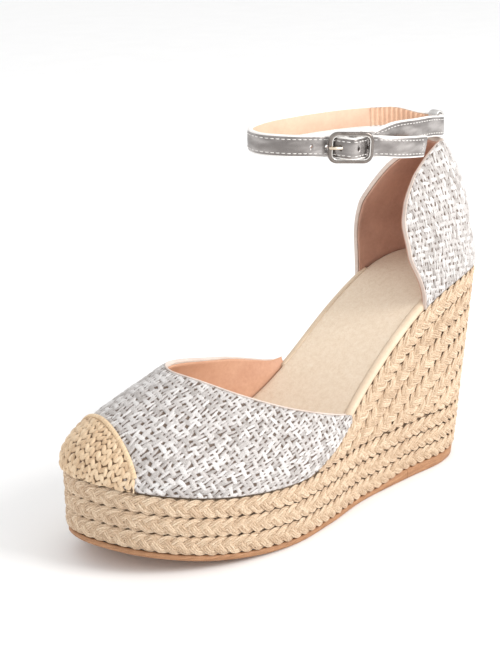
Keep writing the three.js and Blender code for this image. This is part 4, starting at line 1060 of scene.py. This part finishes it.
def float_relief(u, v, stitches, pitch):
    """Relief of a cloth made of short visible yarn lengths.

    For each cell the stitches give their centre, heading, half length and half width, all as shares
    of the pitch, and which cells of the chequered pattern have them.
    """
    height = np.zeros_like(u)
    tint, streak = np.zeros_like(u), np.zeros_like(u)
    ci, cj = np.floor(u / pitch), np.floor(v / pitch)
    for di in (-1, 0, 1):
        for dj in (-1, 0, 1):
            i, j = ci + di, cj + dj
            for number, (offset, heading, half_length, half_width, only) in enumerate(stitches):
                chosen = np.mod(i + j, 2) == only if only is not None else np.ones_like(i, bool)
                jitter = hashed(i, j, number + 1) - 0.5
                jitter_2 = hashed(i, j, number + 11) - 0.5
                x = u / pitch - (i + 0.5 + offset[0] + 0.2 * jitter)
                y = v / pitch - (j + 0.5 + offset[1] + 0.2 * jitter_2)
                turn = heading + 0.5 * (hashed(i, j, number + 5) - 0.5)
                c, s = np.cos(turn), np.sin(turn)
                a, b = x * c + y * s, -x * s + y * c
                width = half_width * (0.88 + 0.24 * hashed(i, j, number + 7))
                b = b + 0.10 * jitter * (a / half_length) ** 2
                end = np.clip(1 - (a / half_length) ** 2, 0, 1)
                side = np.clip(1 - (b / (width * (0.55 + 0.45 * end))) ** 2, 0, 1)
                bulge = np.sqrt(side) * end**0.45 * (0.82 + 0.18 * hashed(i, j, number + 9))
                bulge = np.where(chosen, bulge, 0)
                better = bulge > height
                height = np.where(better, bulge, height)
                tint = np.where(better, hashed(i, j, number + 3), tint)
                streak = np.where(better, b * 9 + 13 * hashed(i, j, number + 2), streak)
    return height, tint, streak


PLAIN_WEAVE = [
    ((0.0, 0.0), 0.0, 0.86, 0.36, 0), ((-0.24, 0.0), math.pi / 2, 0.84, 0.225, 1),
    ((0.24, 0.0), math.pi / 2, 0.84, 0.225, 1),
]
CROCHET = [((-0.22, 0.0), 1.12, 0.68, 0.30, None), ((0.24, 0.0), math.pi - 1.12, 0.68, 0.30, None)]
WEAVE_PITCH = 3.05
CROCHET_PITCH = 3.3
WEAVE_HEIGHT = 0.95
CROCHET_HEIGHT = 1.15
CLOTH_LEVEL = -0.1
CLOTH_DEPTH = 0.9
VAMP_EDGE_WIDTH = 0.95
CUP_EDGE_WIDTH = 1.05
CUP_TOP_WIDTH = 1.2
CUP_TOP_HEIGHT = 0.3
FOLDED_EDGE_HEIGHT = 0.45


def woven_piece(name, grid, coarse_uv, stitches, pitch, relief, base, depth, material, nodes):
    """A cloth sheet whose yarns stand up from its outer face."""
    rows, columns = grid.shape[:2]
    uv = stretch_map(coarse_uv, rows, columns)
    height, tint, streak = float_relief(uv[..., 0], uv[..., 1], stitches, pitch)
    along, across = np.linspace(0, 1, rows)[:, None], np.linspace(0, 1, columns)[None]
    margin = np.minimum(np.minimum(along, 1 - along) * rows, np.minimum(across, 1 - across) * columns)
    fade = np.clip(margin / 3.0, 0, 1)
    normals = grid_normals(grid)
    face = grid + normals * (base + relief * (height * fade - 0.45))[..., None]
    points, faces = thick_sheet(face, depth)
    padding = len(points) - rows * columns
    pad = lambda a: np.concatenate([a.ravel(), np.zeros(padding)])
    flat_uv = np.concatenate([uv.reshape(-1, 2), np.zeros((padding, 2))])
    # The relief attribute also drives the weave's painted gap shade. Near the sheet's edges it is held at
    # 0.3, so the yarns there get a partly shaded colour.
    attributes = {"relief": pad(height * fade + 0.3 * (1 - fade)), "tint": pad(tint), "streak": pad(streak)}
    return new_mesh(name, points, faces, material, "shoe", nodes, attributes=attributes, uv=flat_uv)


def grid_of(surface, rows, columns, t_range=(0.0, 1.0), q_range=(0.0, 1.0)):
    t = np.linspace(*t_range, rows)[:, None]
    q = np.linspace(*q_range, columns)[None]
    return surface(t, q)


def ahead_of_seam(points):
    from_seam = points[..., 0] - (SHOE_LENGTH - CAP_LENGTH)
    return from_seam * math.cos(CAP_SKEW) + points[..., 1] * math.sin(CAP_SKEW)


def seam_height(t):
    """For each t, the q at which the vamp's surface crosses the cap's rear plane, or 0 outside the cap."""
    low, high = np.zeros_like(t), np.ones_like(t)
    for _ in range(30):
        middle = (low + high) / 2
        ahead = ahead_of_seam(vamp_point(t, middle)) > 0
        low, high = np.where(ahead, middle, low), np.where(ahead, high, middle)
    return np.where(ahead_of_seam(vamp_point(t, 0 * t)) > 0, low, 0.0)


def lining_piece(name, grid, material, nodes):
    normals = grid_normals(grid)
    points, faces = shell(grid - normals * LINING_DEPTH, grid - normals * (LINING_DEPTH + LINING_THICKNESS))
    return recalculate(new_mesh(name, points, faces, material, "shoe", nodes))


def edge_tube(name, points, normals, facing, half_width, half_height, material, nodes, depth):
    """A rounded band along the edge of a stack of layers."""
    centres = points - normals * depth + facing * (half_height * 0.4)
    made, faces, uv = tube(centres, normals, facing, half_width, half_height, 14, False, 0.75)
    return recalculate(new_mesh(name, made, faces, material, "shoe", nodes, uv=uv))


def make_vamp():
    coarse = grid_of(vamp_point, 61, 17)
    flat = flatten(coarse, math.radians(8))
    dense = grid_of(vamp_point, 621, 151)
    woven_piece(
        "vamp_outer", dense, flat, PLAIN_WEAVE, WEAVE_PITCH, WEAVE_HEIGHT, CLOTH_LEVEL, CLOTH_DEPTH,
        SILVER_WEAVE, ["vamp_outer"],
    )
    smooth = grid_of(vamp_point, 161, 41)
    lining_piece("vamp_lining", smooth, NUDE, ["vamp_lining"])
    normals = grid_normals(smooth)
    facing = unit(smooth[:, -1] - smooth[:, -2])
    ends = slice(4, -4)
    edge_tube(
        "vamp_binding", smooth[ends, -1], normals[ends, -1], facing[ends], VAMP_EDGE_WIDTH,
        FOLDED_EDGE_HEIGHT, NUDE_EDGE, ["vamp_binding"],
        1.05,
    )
    make_toe_cap()


def make_toe_cap():
    share = np.linspace(0, 1, 2001)
    inside = np.nonzero(seam_height(share) > 0)[0]
    first, last = share[inside[0]], share[inside[-1]]
    t = np.linspace(first, last, 301)
    seam = seam_height(t)
    seam[0] = seam[-1] = 0.004
    rise = np.linspace(0, 1, 97)[None]
    grid = vamp_point(t[:, None], rise * seam[:, None])
    wave = 0.25 * np.sin(np.linspace(0, 40, len(t))) + 0.2 * np.sin(np.linspace(3, 97, len(t)))
    grid = grid + UP * ((1 - rise) ** 6)[..., None] * (wave + 0.2)[:, None, None]
    coarse = vamp_point(t[::10, None], np.linspace(0, 1, 25)[None] * seam[::10, None])
    flat = flatten(coarse, math.radians(8))
    woven_piece(
        "toe_cap", grid, flat, CROCHET, CROCHET_PITCH, CROCHET_HEIGHT, 0.75, 0.8, STRAW, ["toe_cap"],
    )
    run = slice(2, -2)
    line = vamp_point(t, seam)[run]
    up = vamp_point(t, np.clip(seam + 0.01, 0, 1))[run] - line
    along = unit(np.gradient(line, axis=0))
    normal = unit(np.cross(up, along))
    across = np.cross(normal, along)
    if ahead_of_seam(line[100] + across[100]) > ahead_of_seam(line[100]):
        across = -across
    centres = line + normal * 0.85 + across * 0.35
    made, faces, uv = tube(centres, across, normal, 1.0, 0.72, 12)
    recalculate(new_mesh(
        "toe_cap_edging", made, faces, STRAW_CORD, "shoe", ["toe_cap_edging"],
        attributes={"tint": np.full(len(made), 0.5)}, uv=uv,
    ))


def make_counter():
    fine = np.linspace(0, 1, 2001)
    steps = np.linalg.norm(np.diff(counter_point(1 - fine, 0.5), axis=0), axis=1)
    share = np.concatenate([[0], np.cumsum(steps)]) / steps.sum()

    def surface(t, q):
        """The cup's face with t even along its mid height, so its rows stay even at the front edges."""
        return counter_point(1 - np.interp(t, share, fine), q)

    coarse = grid_of(surface, 49, 17)
    flat = flatten(coarse, math.radians(12))
    dense = grid_of(surface, 421, 151)
    woven_piece(
        "counter_outer", dense, flat, PLAIN_WEAVE, WEAVE_PITCH, WEAVE_HEIGHT, CLOTH_LEVEL, CLOTH_DEPTH,
        SILVER_WEAVE, ["counter_outer"],
    )
    smooth = grid_of(surface, 121, 51)
    # The cup's lining takes the darker lining colour, which is painted shade for inside the cup.
    lining_piece("counter_lining", smooth, SHADED_CUP_LINING, ["counter_lining"])
    normals = grid_normals(smooth)
    for side, edge, beside in (("inner", 0, 1), ("outer", -1, -2)):
        facing = unit(smooth[edge] - smooth[beside])
        name = f"counter_binding_{side}"
        edge_tube(
            name, smooth[edge], normals[edge], facing, CUP_EDGE_WIDTH, FOLDED_EDGE_HEIGHT, NUDE_EDGE,
            [name], 1.1,
        )
    crown = unit(smooth[:, -1] - smooth[:, -2])
    edge_tube(
        "counter_top_edge", smooth[:, -1], normals[:, -1], crown, CUP_TOP_WIDTH, CUP_TOP_HEIGHT,
        NUDE_EDGE, [], 1.3,
    )


# ---- ankle strap ----

LOOP_BOTTOM = COUNTER_TOP + FIT_GAP
STRAP_AT_LOOP_Z = LOOP_BOTTOM + LOOP_THICKNESS + LOOP_HOLE_HEIGHT / 2
BUCKLE_CENTRE = np.array([87.8, 11.6, 159.0])
BUCKLE_ALONG = unit([-0.87, 0.49, -0.07])
BUCKLE_OUT = -unit(np.cross(UP, BUCKLE_ALONG))
BUCKLE_UP = unit(np.cross(BUCKLE_ALONG, BUCKLE_OUT))
if BUCKLE_UP[2] < 0:
    BUCKLE_UP = -BUCKLE_UP
STRAP_THICKNESS = STRAP_FACE_THICKNESS + FIT_GAP + STRAP_LINING_THICKNESS
END_BAR = BUCKLE_LENGTH / 2 - BUCKLE_WIRE_RADIUS
UNDER_BAR = BUCKLE_WIRE_RADIUS + 4.4 * FIT_GAP + STRAP_THICKNESS / 2
FOLD_RADIUS = CENTRE_BAR_RADIUS + HINGE_GAP + FOLD_THICKNESS
OVER_BAR = FOLD_RADIUS + 2 * FIT_GAP + STRAP_THICKNESS / 2
REAR_DEPTH = UNDER_BAR + STRAP_THICKNESS + FIT_GAP
REAR_START = 6.2
TIP_RUN = 12


def at_buckle(along, up, out):
    return BUCKLE_CENTRE + BUCKLE_ALONG * along + BUCKLE_UP * up + BUCKLE_OUT * out


STRAP_ROUTE = [
    at_buckle(REAR_START, 1.4, -REAR_DEPTH), at_buckle(REAR_START + 7, 2.4, -REAR_DEPTH - 0.3),
    (60, 12.2, 161.8), (44, 10.8, 161), (30, 8, 160), (LOOP_X + 2.4, 5.4, STRAP_AT_LOOP_Z),
    (LOOP_X, 2, STRAP_AT_LOOP_Z), (LOOP_X - 0.2, 0, STRAP_AT_LOOP_Z), (LOOP_X, -2, STRAP_AT_LOOP_Z),
    (LOOP_X + 2.6, -8.5, STRAP_AT_LOOP_Z + 0.5), (26, -16.5, 161.6), (38, -22, 162.4), (54, -26.6, 162.8),
    (78, -30.4, 162.8), (99, -31, 162.5), (113, -26, 162), (116.5, -16.5, 161.6), (110.8, -6, 161),
    at_buckle(-END_BAR - 5, 0, -UNDER_BAR + 0.2), at_buckle(-END_BAR, 0, -UNDER_BAR),
    at_buckle(-END_BAR * 0.5, 0, (OVER_BAR - UNDER_BAR) / 2), at_buckle(0, 0, OVER_BAR),
    at_buckle(END_BAR * 0.5, 0, (OVER_BAR - UNDER_BAR) / 2), at_buckle(END_BAR, 0, -UNDER_BAR),
    at_buckle(END_BAR + 5, 0, -UNDER_BAR + 0.2), (62, 18.4, 156.2), (44, 17.4, 154),
]
strap = Path(catmull(STRAP_ROUTE, power=0.25))


def nearest_distance(target, low, high):
    distance = np.arange(low, high, 0.1)
    return float(distance[np.argmin(np.linalg.norm(strap.at(distance) - target, axis=1))])


BUCKLE_DISTANCE = nearest_distance(at_buckle(0, 0, OVER_BAR), strap.length * 0.6, strap.length)
LOOP_DISTANCE = nearest_distance(np.array([LOOP_X, 0, STRAP_AT_LOOP_Z]), 0, strap.length * 0.5)
ELASTIC_START = LOOP_DISTANCE - 22
ELASTIC_END = LOOP_DISTANCE + 34
PRONG_HOLE_OFFSET = -5.4


def strap_out(distance):
    """Away from the ankle, square to the strap."""
    out = unit(np.cross(strap.tangent(distance, 0.6), UP))
    middle = np.array([66.0, -9.0, 0.0])
    probe = strap.at(strap.length * 0.3)
    away = np.dot(unit(np.cross(strap.tangent(strap.length * 0.3), UP)), probe - middle) > 0
    return out if away else -out


def strap_section(half_height, inner, outer, rounding, crown):
    """Section of one strap layer as (out, up) pairs: soft corners and a slightly raised middle."""
    r = rounding
    up = np.array([-1, -0.8, -0.45, 0, 0.45, 0.8, 1]) * (half_height - r)
    pairs = [(outer - r, -half_height)]
    for u in up:
        corner = r * 0.5 if abs(u) > half_height - r - 0.01 else 0
        pairs.append((outer + crown * (1 - (u / half_height) ** 2) - corner, u))
    pairs += [(outer - r, half_height), (inner + r * 0.5, half_height), (inner, half_height - r)]
    pairs += [(inner, 0), (inner, -half_height + r), (inner + r * 0.5, -half_height)]
    return pairs


def strap_layer(name, start, end, section, material, nodes, slant=0.0, step=0.8, ruche=None):
    steps = int((end - start) / step) + 1
    base = np.linspace(start, end, steps)
    rings = []
    for out, up in section:
        pull = slant * np.clip(1 - (end - base) / TIP_RUN, 0, 1) * (0.5 - up / STRAP_HEIGHT)
        distance = base - pull
        push = out + (ruche(base, up) if ruche is not None else 0)
        rings.append(strap.at(distance) + strap_out(distance) * np.reshape(push, (-1, 1)) + UP * up)
    grid = np.stack(rings, 1)
    count = len(section)
    faces = [tuple(f) for f in grid_faces(steps, count, False, True)]
    faces += [tuple(range(count)), tuple((steps - 1) * count + k for k in range(count))]
    return recalculate(new_mesh(name, grid.reshape(-1, 3), faces, material, "ankle_strap", nodes))


def punch(piece, centres, directions, radius):
    """Cuts round holes through a strap layer."""
    for centre, direction in zip(centres, directions):
        bpy.ops.mesh.primitive_cylinder_add(
            vertices=20, radius=radius * 0.001, depth=0.008, location=tuple(to_row(centre)),
            rotation=Vector(direction).to_track_quat("Z", "Y").to_euler(),
        )
        cutter = bpy.context.active_object
        modifier = piece.modifiers.new("hole", "BOOLEAN")
        modifier.object = cutter
        modifier.solver = "EXACT"
        bpy.context.view_layer.objects.active = piece
        bpy.ops.object.modifier_apply(modifier="hole")
        bpy.data.objects.remove(cutter)


def make_strap():
    face_outer = STRAP_THICKNESS / 2
    face_inner = face_outer - STRAP_FACE_THICKNESS
    lining_outer = face_inner - FIT_GAP * 0.3
    lining_inner = -STRAP_THICKNESS / 2
    half = STRAP_HEIGHT / 2
    face = strap_layer(
        "ankle_strap", 0.0, strap.length, strap_section(half, face_inner, face_outer, 0.3, 0.25), SILVER,
        ["ankle_strap"], STRAP_TIP_SLANT,
    )
    lining = strap_section(half - 0.15, lining_inner, lining_outer, 0.2, 0.0)
    strap_layer(
        "strap_lining_rear", 0.0, ELASTIC_START, lining, STRAP_NUDE, ["strap_lining_rear"],
    )
    front = strap_layer(
        "strap_lining", ELASTIC_END, strap.length, lining, STRAP_NUDE, ["strap_lining"],
        STRAP_TIP_SLANT,
    )
    distances = [BUCKLE_DISTANCE + PRONG_HOLE_OFFSET + k * STRAP_HOLE_PITCH for k in (-2, -1, 0, 1, 2)]
    centres = [strap.at(d) for d in distances]
    directions = [strap_out(d) for d in distances]
    for piece in (face, front):
        punch(piece, centres, directions, STRAP_HOLE_RADIUS)

    def ruche(distance, up):
        folds = 0.4 * np.sin(distance * 2.45 + 0.5 * np.sin(up * 0.9))
        return -0.42 + folds + 0.12 * np.sin(distance * 5.7 + up)

    elastic_section = strap_section(half - 0.35, lining_inner + 0.2, lining_outer - 0.35, 0.2, 0.0)
    strap_layer(
        "heel_elastic", ELASTIC_START - 0.4, ELASTIC_END + 0.4, elastic_section, ELASTIC,
        ["heel_elastic"], step=0.3, ruche=ruche,
    )
    strap_stitches(face_outer)
    strap_edges(face_outer)


STITCH_PITCH = 2.35
STITCH_LENGTH = 1.75
STITCH_RADIUS = 0.22
STITCH_INSET = 1.45
EDGE_PAINT_HEIGHT = 0.42


def strap_stitches(face_outer):
    """Two rows of light thread along the strap's face, and a short one across its tip."""
    parts = Parts()
    for row in (-1, 1):
        up = row * (STRAP_HEIGHT / 2 - STITCH_INSET)
        for d in np.arange(3.0, strap.length - 3.4, STITCH_PITCH):
            centre = strap.at(d) + UP * up + strap_out(d) * (face_outer + 0.12)
            along = strap.tangent(d, 0.6)
            made, faces, uv = stitch(centre, along, strap_out(d), STITCH_LENGTH, STITCH_RADIUS)
            parts.add(made, faces, uv, rng.random())
    tip = strap.length - 2.6
    for k in np.linspace(-1, 1, 4)[1:-1]:
        up = k * (STRAP_HEIGHT / 2 - STITCH_INSET)
        d = tip - STRAP_TIP_SLANT * (0.5 - up / STRAP_HEIGHT)
        centre = strap.at(d) + UP * up + strap_out(d) * (face_outer + 0.2)
        along = unit(UP + strap.tangent(d) * 0.3)
        made, faces, uv = stitch(centre, along, strap_out(d), STITCH_LENGTH, STITCH_RADIUS)
        parts.add(made, faces, uv, rng.random())
    parts.piece("strap_stitching", THREAD, "ankle_strap", (), "silver_leather")


def strap_edges(outer):
    """The pale painted edge that closes the strap's two layers, above, below and round the tip."""
    parts = Parts()
    distance = np.linspace(0.3, strap.length - 0.2, 420)
    out = strap_out(distance)
    depth = (outer - STRAP_THICKNESS / 2) / 2
    half_width = STRAP_THICKNESS / 2 + 0.02
    for row in (-1, 1):
        up = row * (STRAP_HEIGHT / 2 - 0.05)
        near_tip = np.clip(1 - (strap.length - distance) / TIP_RUN, 0, 1)
        pull = STRAP_TIP_SLANT * near_tip * (0.5 - up / STRAP_HEIGHT)
        centres = strap.at(distance - pull) + out * depth + UP * up
        ones = np.ones((len(distance), 1))
        made, faces, uv = tube(centres, out, ones * UP, half_width, EDGE_PAINT_HEIGHT, 10, False, 0.7)
        parts.add(made, faces, uv)
    ups = np.linspace(-1, 1, 12) * (STRAP_HEIGHT / 2 - 0.1)
    d = strap.length - 0.05 - STRAP_TIP_SLANT * (0.5 - ups / STRAP_HEIGHT)
    centres = strap.at(d) + strap_out(d) * depth + np.outer(ups, UP)
    out = strap_out(d)
    forward = unit(np.cross(unit(np.gradient(centres, axis=0)), out))
    made, faces, uv = tube(centres, out, forward, half_width, EDGE_PAINT_HEIGHT, 10, False, 0.7)
    parts.add(made, faces, uv)
    recalculate(parts.piece("strap_edge_paint", EDGE_WHITE, "ankle_strap", (), "silver_leather"))


def make_heel_loop():
    """The narrow leather loop on the tip of the heel cup that the strap runs through."""
    half_hole = LOOP_HOLE_WIDTH / 2
    mid_width = half_hole + LOOP_THICKNESS / 2
    straight = (LOOP_HOLE_HEIGHT + 2 * LOOP_THICKNESS) / 2 - half_hole - LOOP_THICKNESS
    angle = np.linspace(0, np.pi, 22)
    top = np.stack([mid_width * np.cos(angle), straight + mid_width * np.sin(angle)], -1)
    bottom = np.stack([-mid_width * np.cos(angle), -straight - mid_width * np.sin(angle)], -1)
    rise = np.linspace(-straight, straight, 10)[1:-1]
    right = np.stack([np.full(8, mid_width), rise], -1)
    left = np.stack([np.full(8, -mid_width), rise[::-1]], -1)
    ring = np.concatenate([right, top, left, bottom])
    centres = np.stack([ring[:, 0] + LOOP_X, 0 * ring[:, 0], ring[:, 1] + STRAP_AT_LOOP_Z], -1)
    past_straight = np.clip(np.abs(ring[:, 1]) - straight, 0, None)
    out = unit(np.stack([ring[:, 0], 0 * ring[:, 0], np.sign(ring[:, 1]) * past_straight], -1))
    side = np.tile(np.array([0.0, 1.0, 0.0]), (len(ring), 1))
    made, faces, uv = tube(centres, side, out, LOOP_WIDTH / 2, LOOP_THICKNESS / 2, 16, True, 0.5)
    loop = new_mesh(
        "heel_loop", made, faces, LOOP_LEATHER, "ankle_strap", ["heel_loop"], uv=uv,
    )
    recalculate(loop)


LIP_RADIUS = 0.34
LIP_PLACE = 0.62


def make_buckle():
    """A rounded rectangular frame and a centre bar, with a pale metal lip along the frame's inner edge that
    is a painted highlight.
    """
    half_l, half_h = END_BAR, BUCKLE_HEIGHT / 2 - BUCKLE_WIRE_RADIUS
    r = BUCKLE_CORNER_RADIUS - BUCKLE_WIRE_RADIUS * 0.2
    corner = []
    for cx, cy, start in ((1, 1, 0), (-1, 1, 90), (-1, -1, 180), (1, -1, 270)):
        for a in np.radians(np.linspace(start, start + 90, 12)):
            corner.append((cx * (half_l - r) + r * math.cos(a), cy * (half_h - r) + r * math.sin(a)))
    corner = np.array(corner)
    path = Path(np.concatenate([np.c_[corner, 0 * corner[:, 0]], np.c_[corner[:1], [[0]]]]))
    d = np.linspace(0, path.length, 160, endpoint=False)
    flat = path.at(d)
    ahead, behind = path.at(np.mod(d + 0.4, path.length)), path.at(np.mod(d - 0.4, path.length))
    tangent = unit(ahead - behind)
    sideways = np.cross(tangent, np.array([0, 0, 1.0]))

    def place(v):
        return v[:, :1] * BUCKLE_ALONG + v[:, 1:2] * BUCKLE_UP + v[:, 2:3] * BUCKLE_OUT

    centres = BUCKLE_CENTRE + place(flat)
    ones = np.ones((len(d), 1))
    parts = Parts()
    made, faces, uv = tube(
        centres, place(sideways), ones * BUCKLE_OUT, BUCKLE_WIRE_RADIUS, BUCKLE_WIRE_RADIUS, 20, True, 0.8,
    )
    parts.add(made, faces, uv)
    # Painted highlight: a thin tube of pale nickel along the frame's inner edge, where a glint would fall.
    inner = Parts()
    towards = -sideways * np.sign(np.sum(sideways * flat, -1, keepdims=True))
    offset = BUCKLE_WIRE_RADIUS * LIP_PLACE
    lip = centres + place(towards) * offset + BUCKLE_OUT * offset
    made, faces, uv = tube(lip, place(sideways), ones * BUCKLE_OUT, LIP_RADIUS, LIP_RADIUS, 10, True)
    inner.add(made, faces, uv)
    recalculate(inner.piece("buckle_highlight_lip", HIGHLIGHT_NICKEL, "buckle", (), "nickel"))
    ups = np.linspace(-half_h, half_h, 24)
    bar = BUCKLE_CENTRE + np.outer(ups, BUCKLE_UP)
    ones = np.ones((24, 1))
    radius = CENTRE_BAR_RADIUS
    made, faces, uv = tube(bar, ones * BUCKLE_ALONG, ones * BUCKLE_OUT, radius, radius, 16)
    parts.add(made, faces, uv)
    recalculate(parts.piece("buckle_frame", NICKEL, "buckle", ["buckle_frame"], "nickel"))


def make_prong():
    """The prong: a ring round the centre bar and a tapered rod that lies on the front end bar."""
    parts = Parts()
    angle = np.linspace(0, 2 * np.pi, 40, endpoint=False)
    radius = FOLD_RADIUS - 0.2
    spokes = np.outer(np.cos(angle), BUCKLE_ALONG) + np.outer(np.sin(angle), BUCKLE_OUT)
    ring = BUCKLE_CENTRE + radius * spokes
    outward = unit(ring - BUCKLE_CENTRE)
    ones = np.ones((40, 1))
    made, faces, uv = tube(ring, outward, ones * BUCKLE_UP, 0.5, 0.8, 12, True, 0.8)
    parts.add(made, faces, uv)
    reach = np.linspace(0, 1, 40)
    along = -radius * 0.6 - reach * (END_BAR + BUCKLE_WIRE_RADIUS + 0.2 - radius * 0.6)
    root, tip = radius * 0.75, BUCKLE_WIRE_RADIUS + PRONG_RADIUS + 0.02
    out = root + (tip - root) * smoothstep(reach, 0, 0.8)
    centres = BUCKLE_CENTRE + np.outer(along, BUCKLE_ALONG) + np.outer(out, BUCKLE_OUT)
    run = unit(np.gradient(centres, axis=0))
    up = np.ones((40, 1)) * BUCKLE_UP
    rounding = np.sqrt(np.clip(1 - np.clip((reach - 0.93) / 0.072, 0, 1) ** 2, 0.05, 1))
    size = PRONG_RADIUS * (1 - 0.25 * reach) * rounding
    made, faces, uv = tube(centres, np.cross(run, up), up, size, size * 1.15, 14)
    parts.add(made, faces, uv)
    recalculate(parts.piece("buckle_prong", PALE_GOLD, "prong", ["buckle_prong"], "pale_gold"))


# ---- CAD nodes that stay, studio and camera ----

KEPT = {
    "wedge_core": CORK, "shank": STEEL, "insole_board": BOARD, "insole_foam": FOAM,
    "vamp_interlining": CLOTH, "toe_puff": BOARD, "heel_stiffener": BOARD, "buckle_fold": SILVER,
}


def dress_kept_nodes():
    for name, material in KEPT.items():
        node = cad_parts[name]
        node.data.materials.clear()
        node.data.materials.append(material)


def area_light(name, place, target, size, power, colour=(1, 1, 1)):
    data = bpy.data.lights.new(name, "AREA")
    data.shape = "RECTANGLE"
    data.size, data.size_y = size
    data.energy = power
    data.color = colour
    lamp = bpy.data.objects.new(name, data)
    lamp.location = place
    lamp.rotation_euler = (Vector(target) - Vector(place)).to_track_quat("-Z", "Y").to_euler()
    bpy.context.scene.collection.objects.link(lamp)


CAMERA_AZIMUTH = math.radians(136.87)
CAMERA_ELEVATION = math.radians(17.54)
CAMERA_ROLL = math.radians(-1.29)
CAMERA_DISTANCE = 773.0
CAMERA_TARGET = np.array([91.33, -52.16, 60.0])
SENSOR = 36.0
LENS = 85.8565


def make_camera():
    a, e = CAMERA_AZIMUTH, CAMERA_ELEVATION
    back = np.array([math.sin(a) * math.cos(e), -math.cos(a) * math.cos(e), math.sin(e)])
    right = unit(np.cross(UP, back))
    up = np.cross(back, right)
    c, s = math.cos(CAMERA_ROLL), math.sin(CAMERA_ROLL)
    right, up = right * c + up * s, -right * s + up * c
    place = to_row(CAMERA_TARGET + back * CAMERA_DISTANCE)
    data = bpy.data.cameras.new("camera")
    data.sensor_fit = "VERTICAL"
    data.sensor_height = SENSOR
    data.lens = LENS
    camera = bpy.data.objects.new("camera", data)
    bpy.context.scene.collection.objects.link(camera)
    camera.matrix_world = Matrix([
        [right[0], up[0], back[0], place[0]], [right[1], up[1], back[1], place[1]],
        [right[2], up[2], back[2], place[2]], [0, 0, 0, 1],
    ])
    bpy.context.scene.camera = camera


WORLD_STRENGTH = 0.97
KEY_POWER = 21.0
FILL_POWER = 1.5


def make_studio():
    """A pale floor, an even white world, a key lamp on the outer side and a weak fill."""
    mesh = bpy.data.meshes.new("floor")
    size = 6.0
    corners = [(-size, -size, 0), (size, -size, 0), (size, size, 0), (-size, size, 0)]
    mesh.from_pydata(corners, [], [(0, 1, 2, 3)])
    n = Nodes("floor")
    paper = n.noise(n.coordinates(), 0.02, 3.0)
    n.set("Base Color", n.ramp(paper, [(0.3, (0.93, 0.93, 0.93)), (0.7, (0.95, 0.95, 0.95))]))
    n.set("Roughness", 0.9)
    mesh.materials.append(n.material)
    floor = bpy.data.objects.new("floor", mesh)
    bpy.context.scene.collection.objects.link(floor)
    floor.location.z = -0.0002
    world = bpy.data.worlds.new("studio")
    world.use_nodes = True
    world.node_tree.nodes["Background"].inputs["Color"].default_value = (1.0, 1.0, 1.0, 1.0)
    world.node_tree.nodes["Background"].inputs["Strength"].default_value = WORLD_STRENGTH
    bpy.context.scene.world = world
    area_light("key", (-0.6, 1.3, 0.95), (0, 0, 0.06), (0.8, 0.8), KEY_POWER, (1.0, 0.985, 0.965))
    area_light("fill", (1.3, 0.3, 0.9), (0, 0, 0.06), (0.9, 0.9), FILL_POWER)
    bpy.context.scene.view_settings.view_transform = "Standard"
    bpy.context.scene.view_settings.look = "None"


make_camera()
make_studio()
dress_kept_nodes()
make_sole()
for row in range(PLATFORM_ROWS):
    platform_row(row)
for row in range(WEDGE_ROWS):
    wedge_row(row)
make_insole()
make_vamp()
make_counter()
make_strap()
make_heel_loop()
make_buckle()
make_prong()
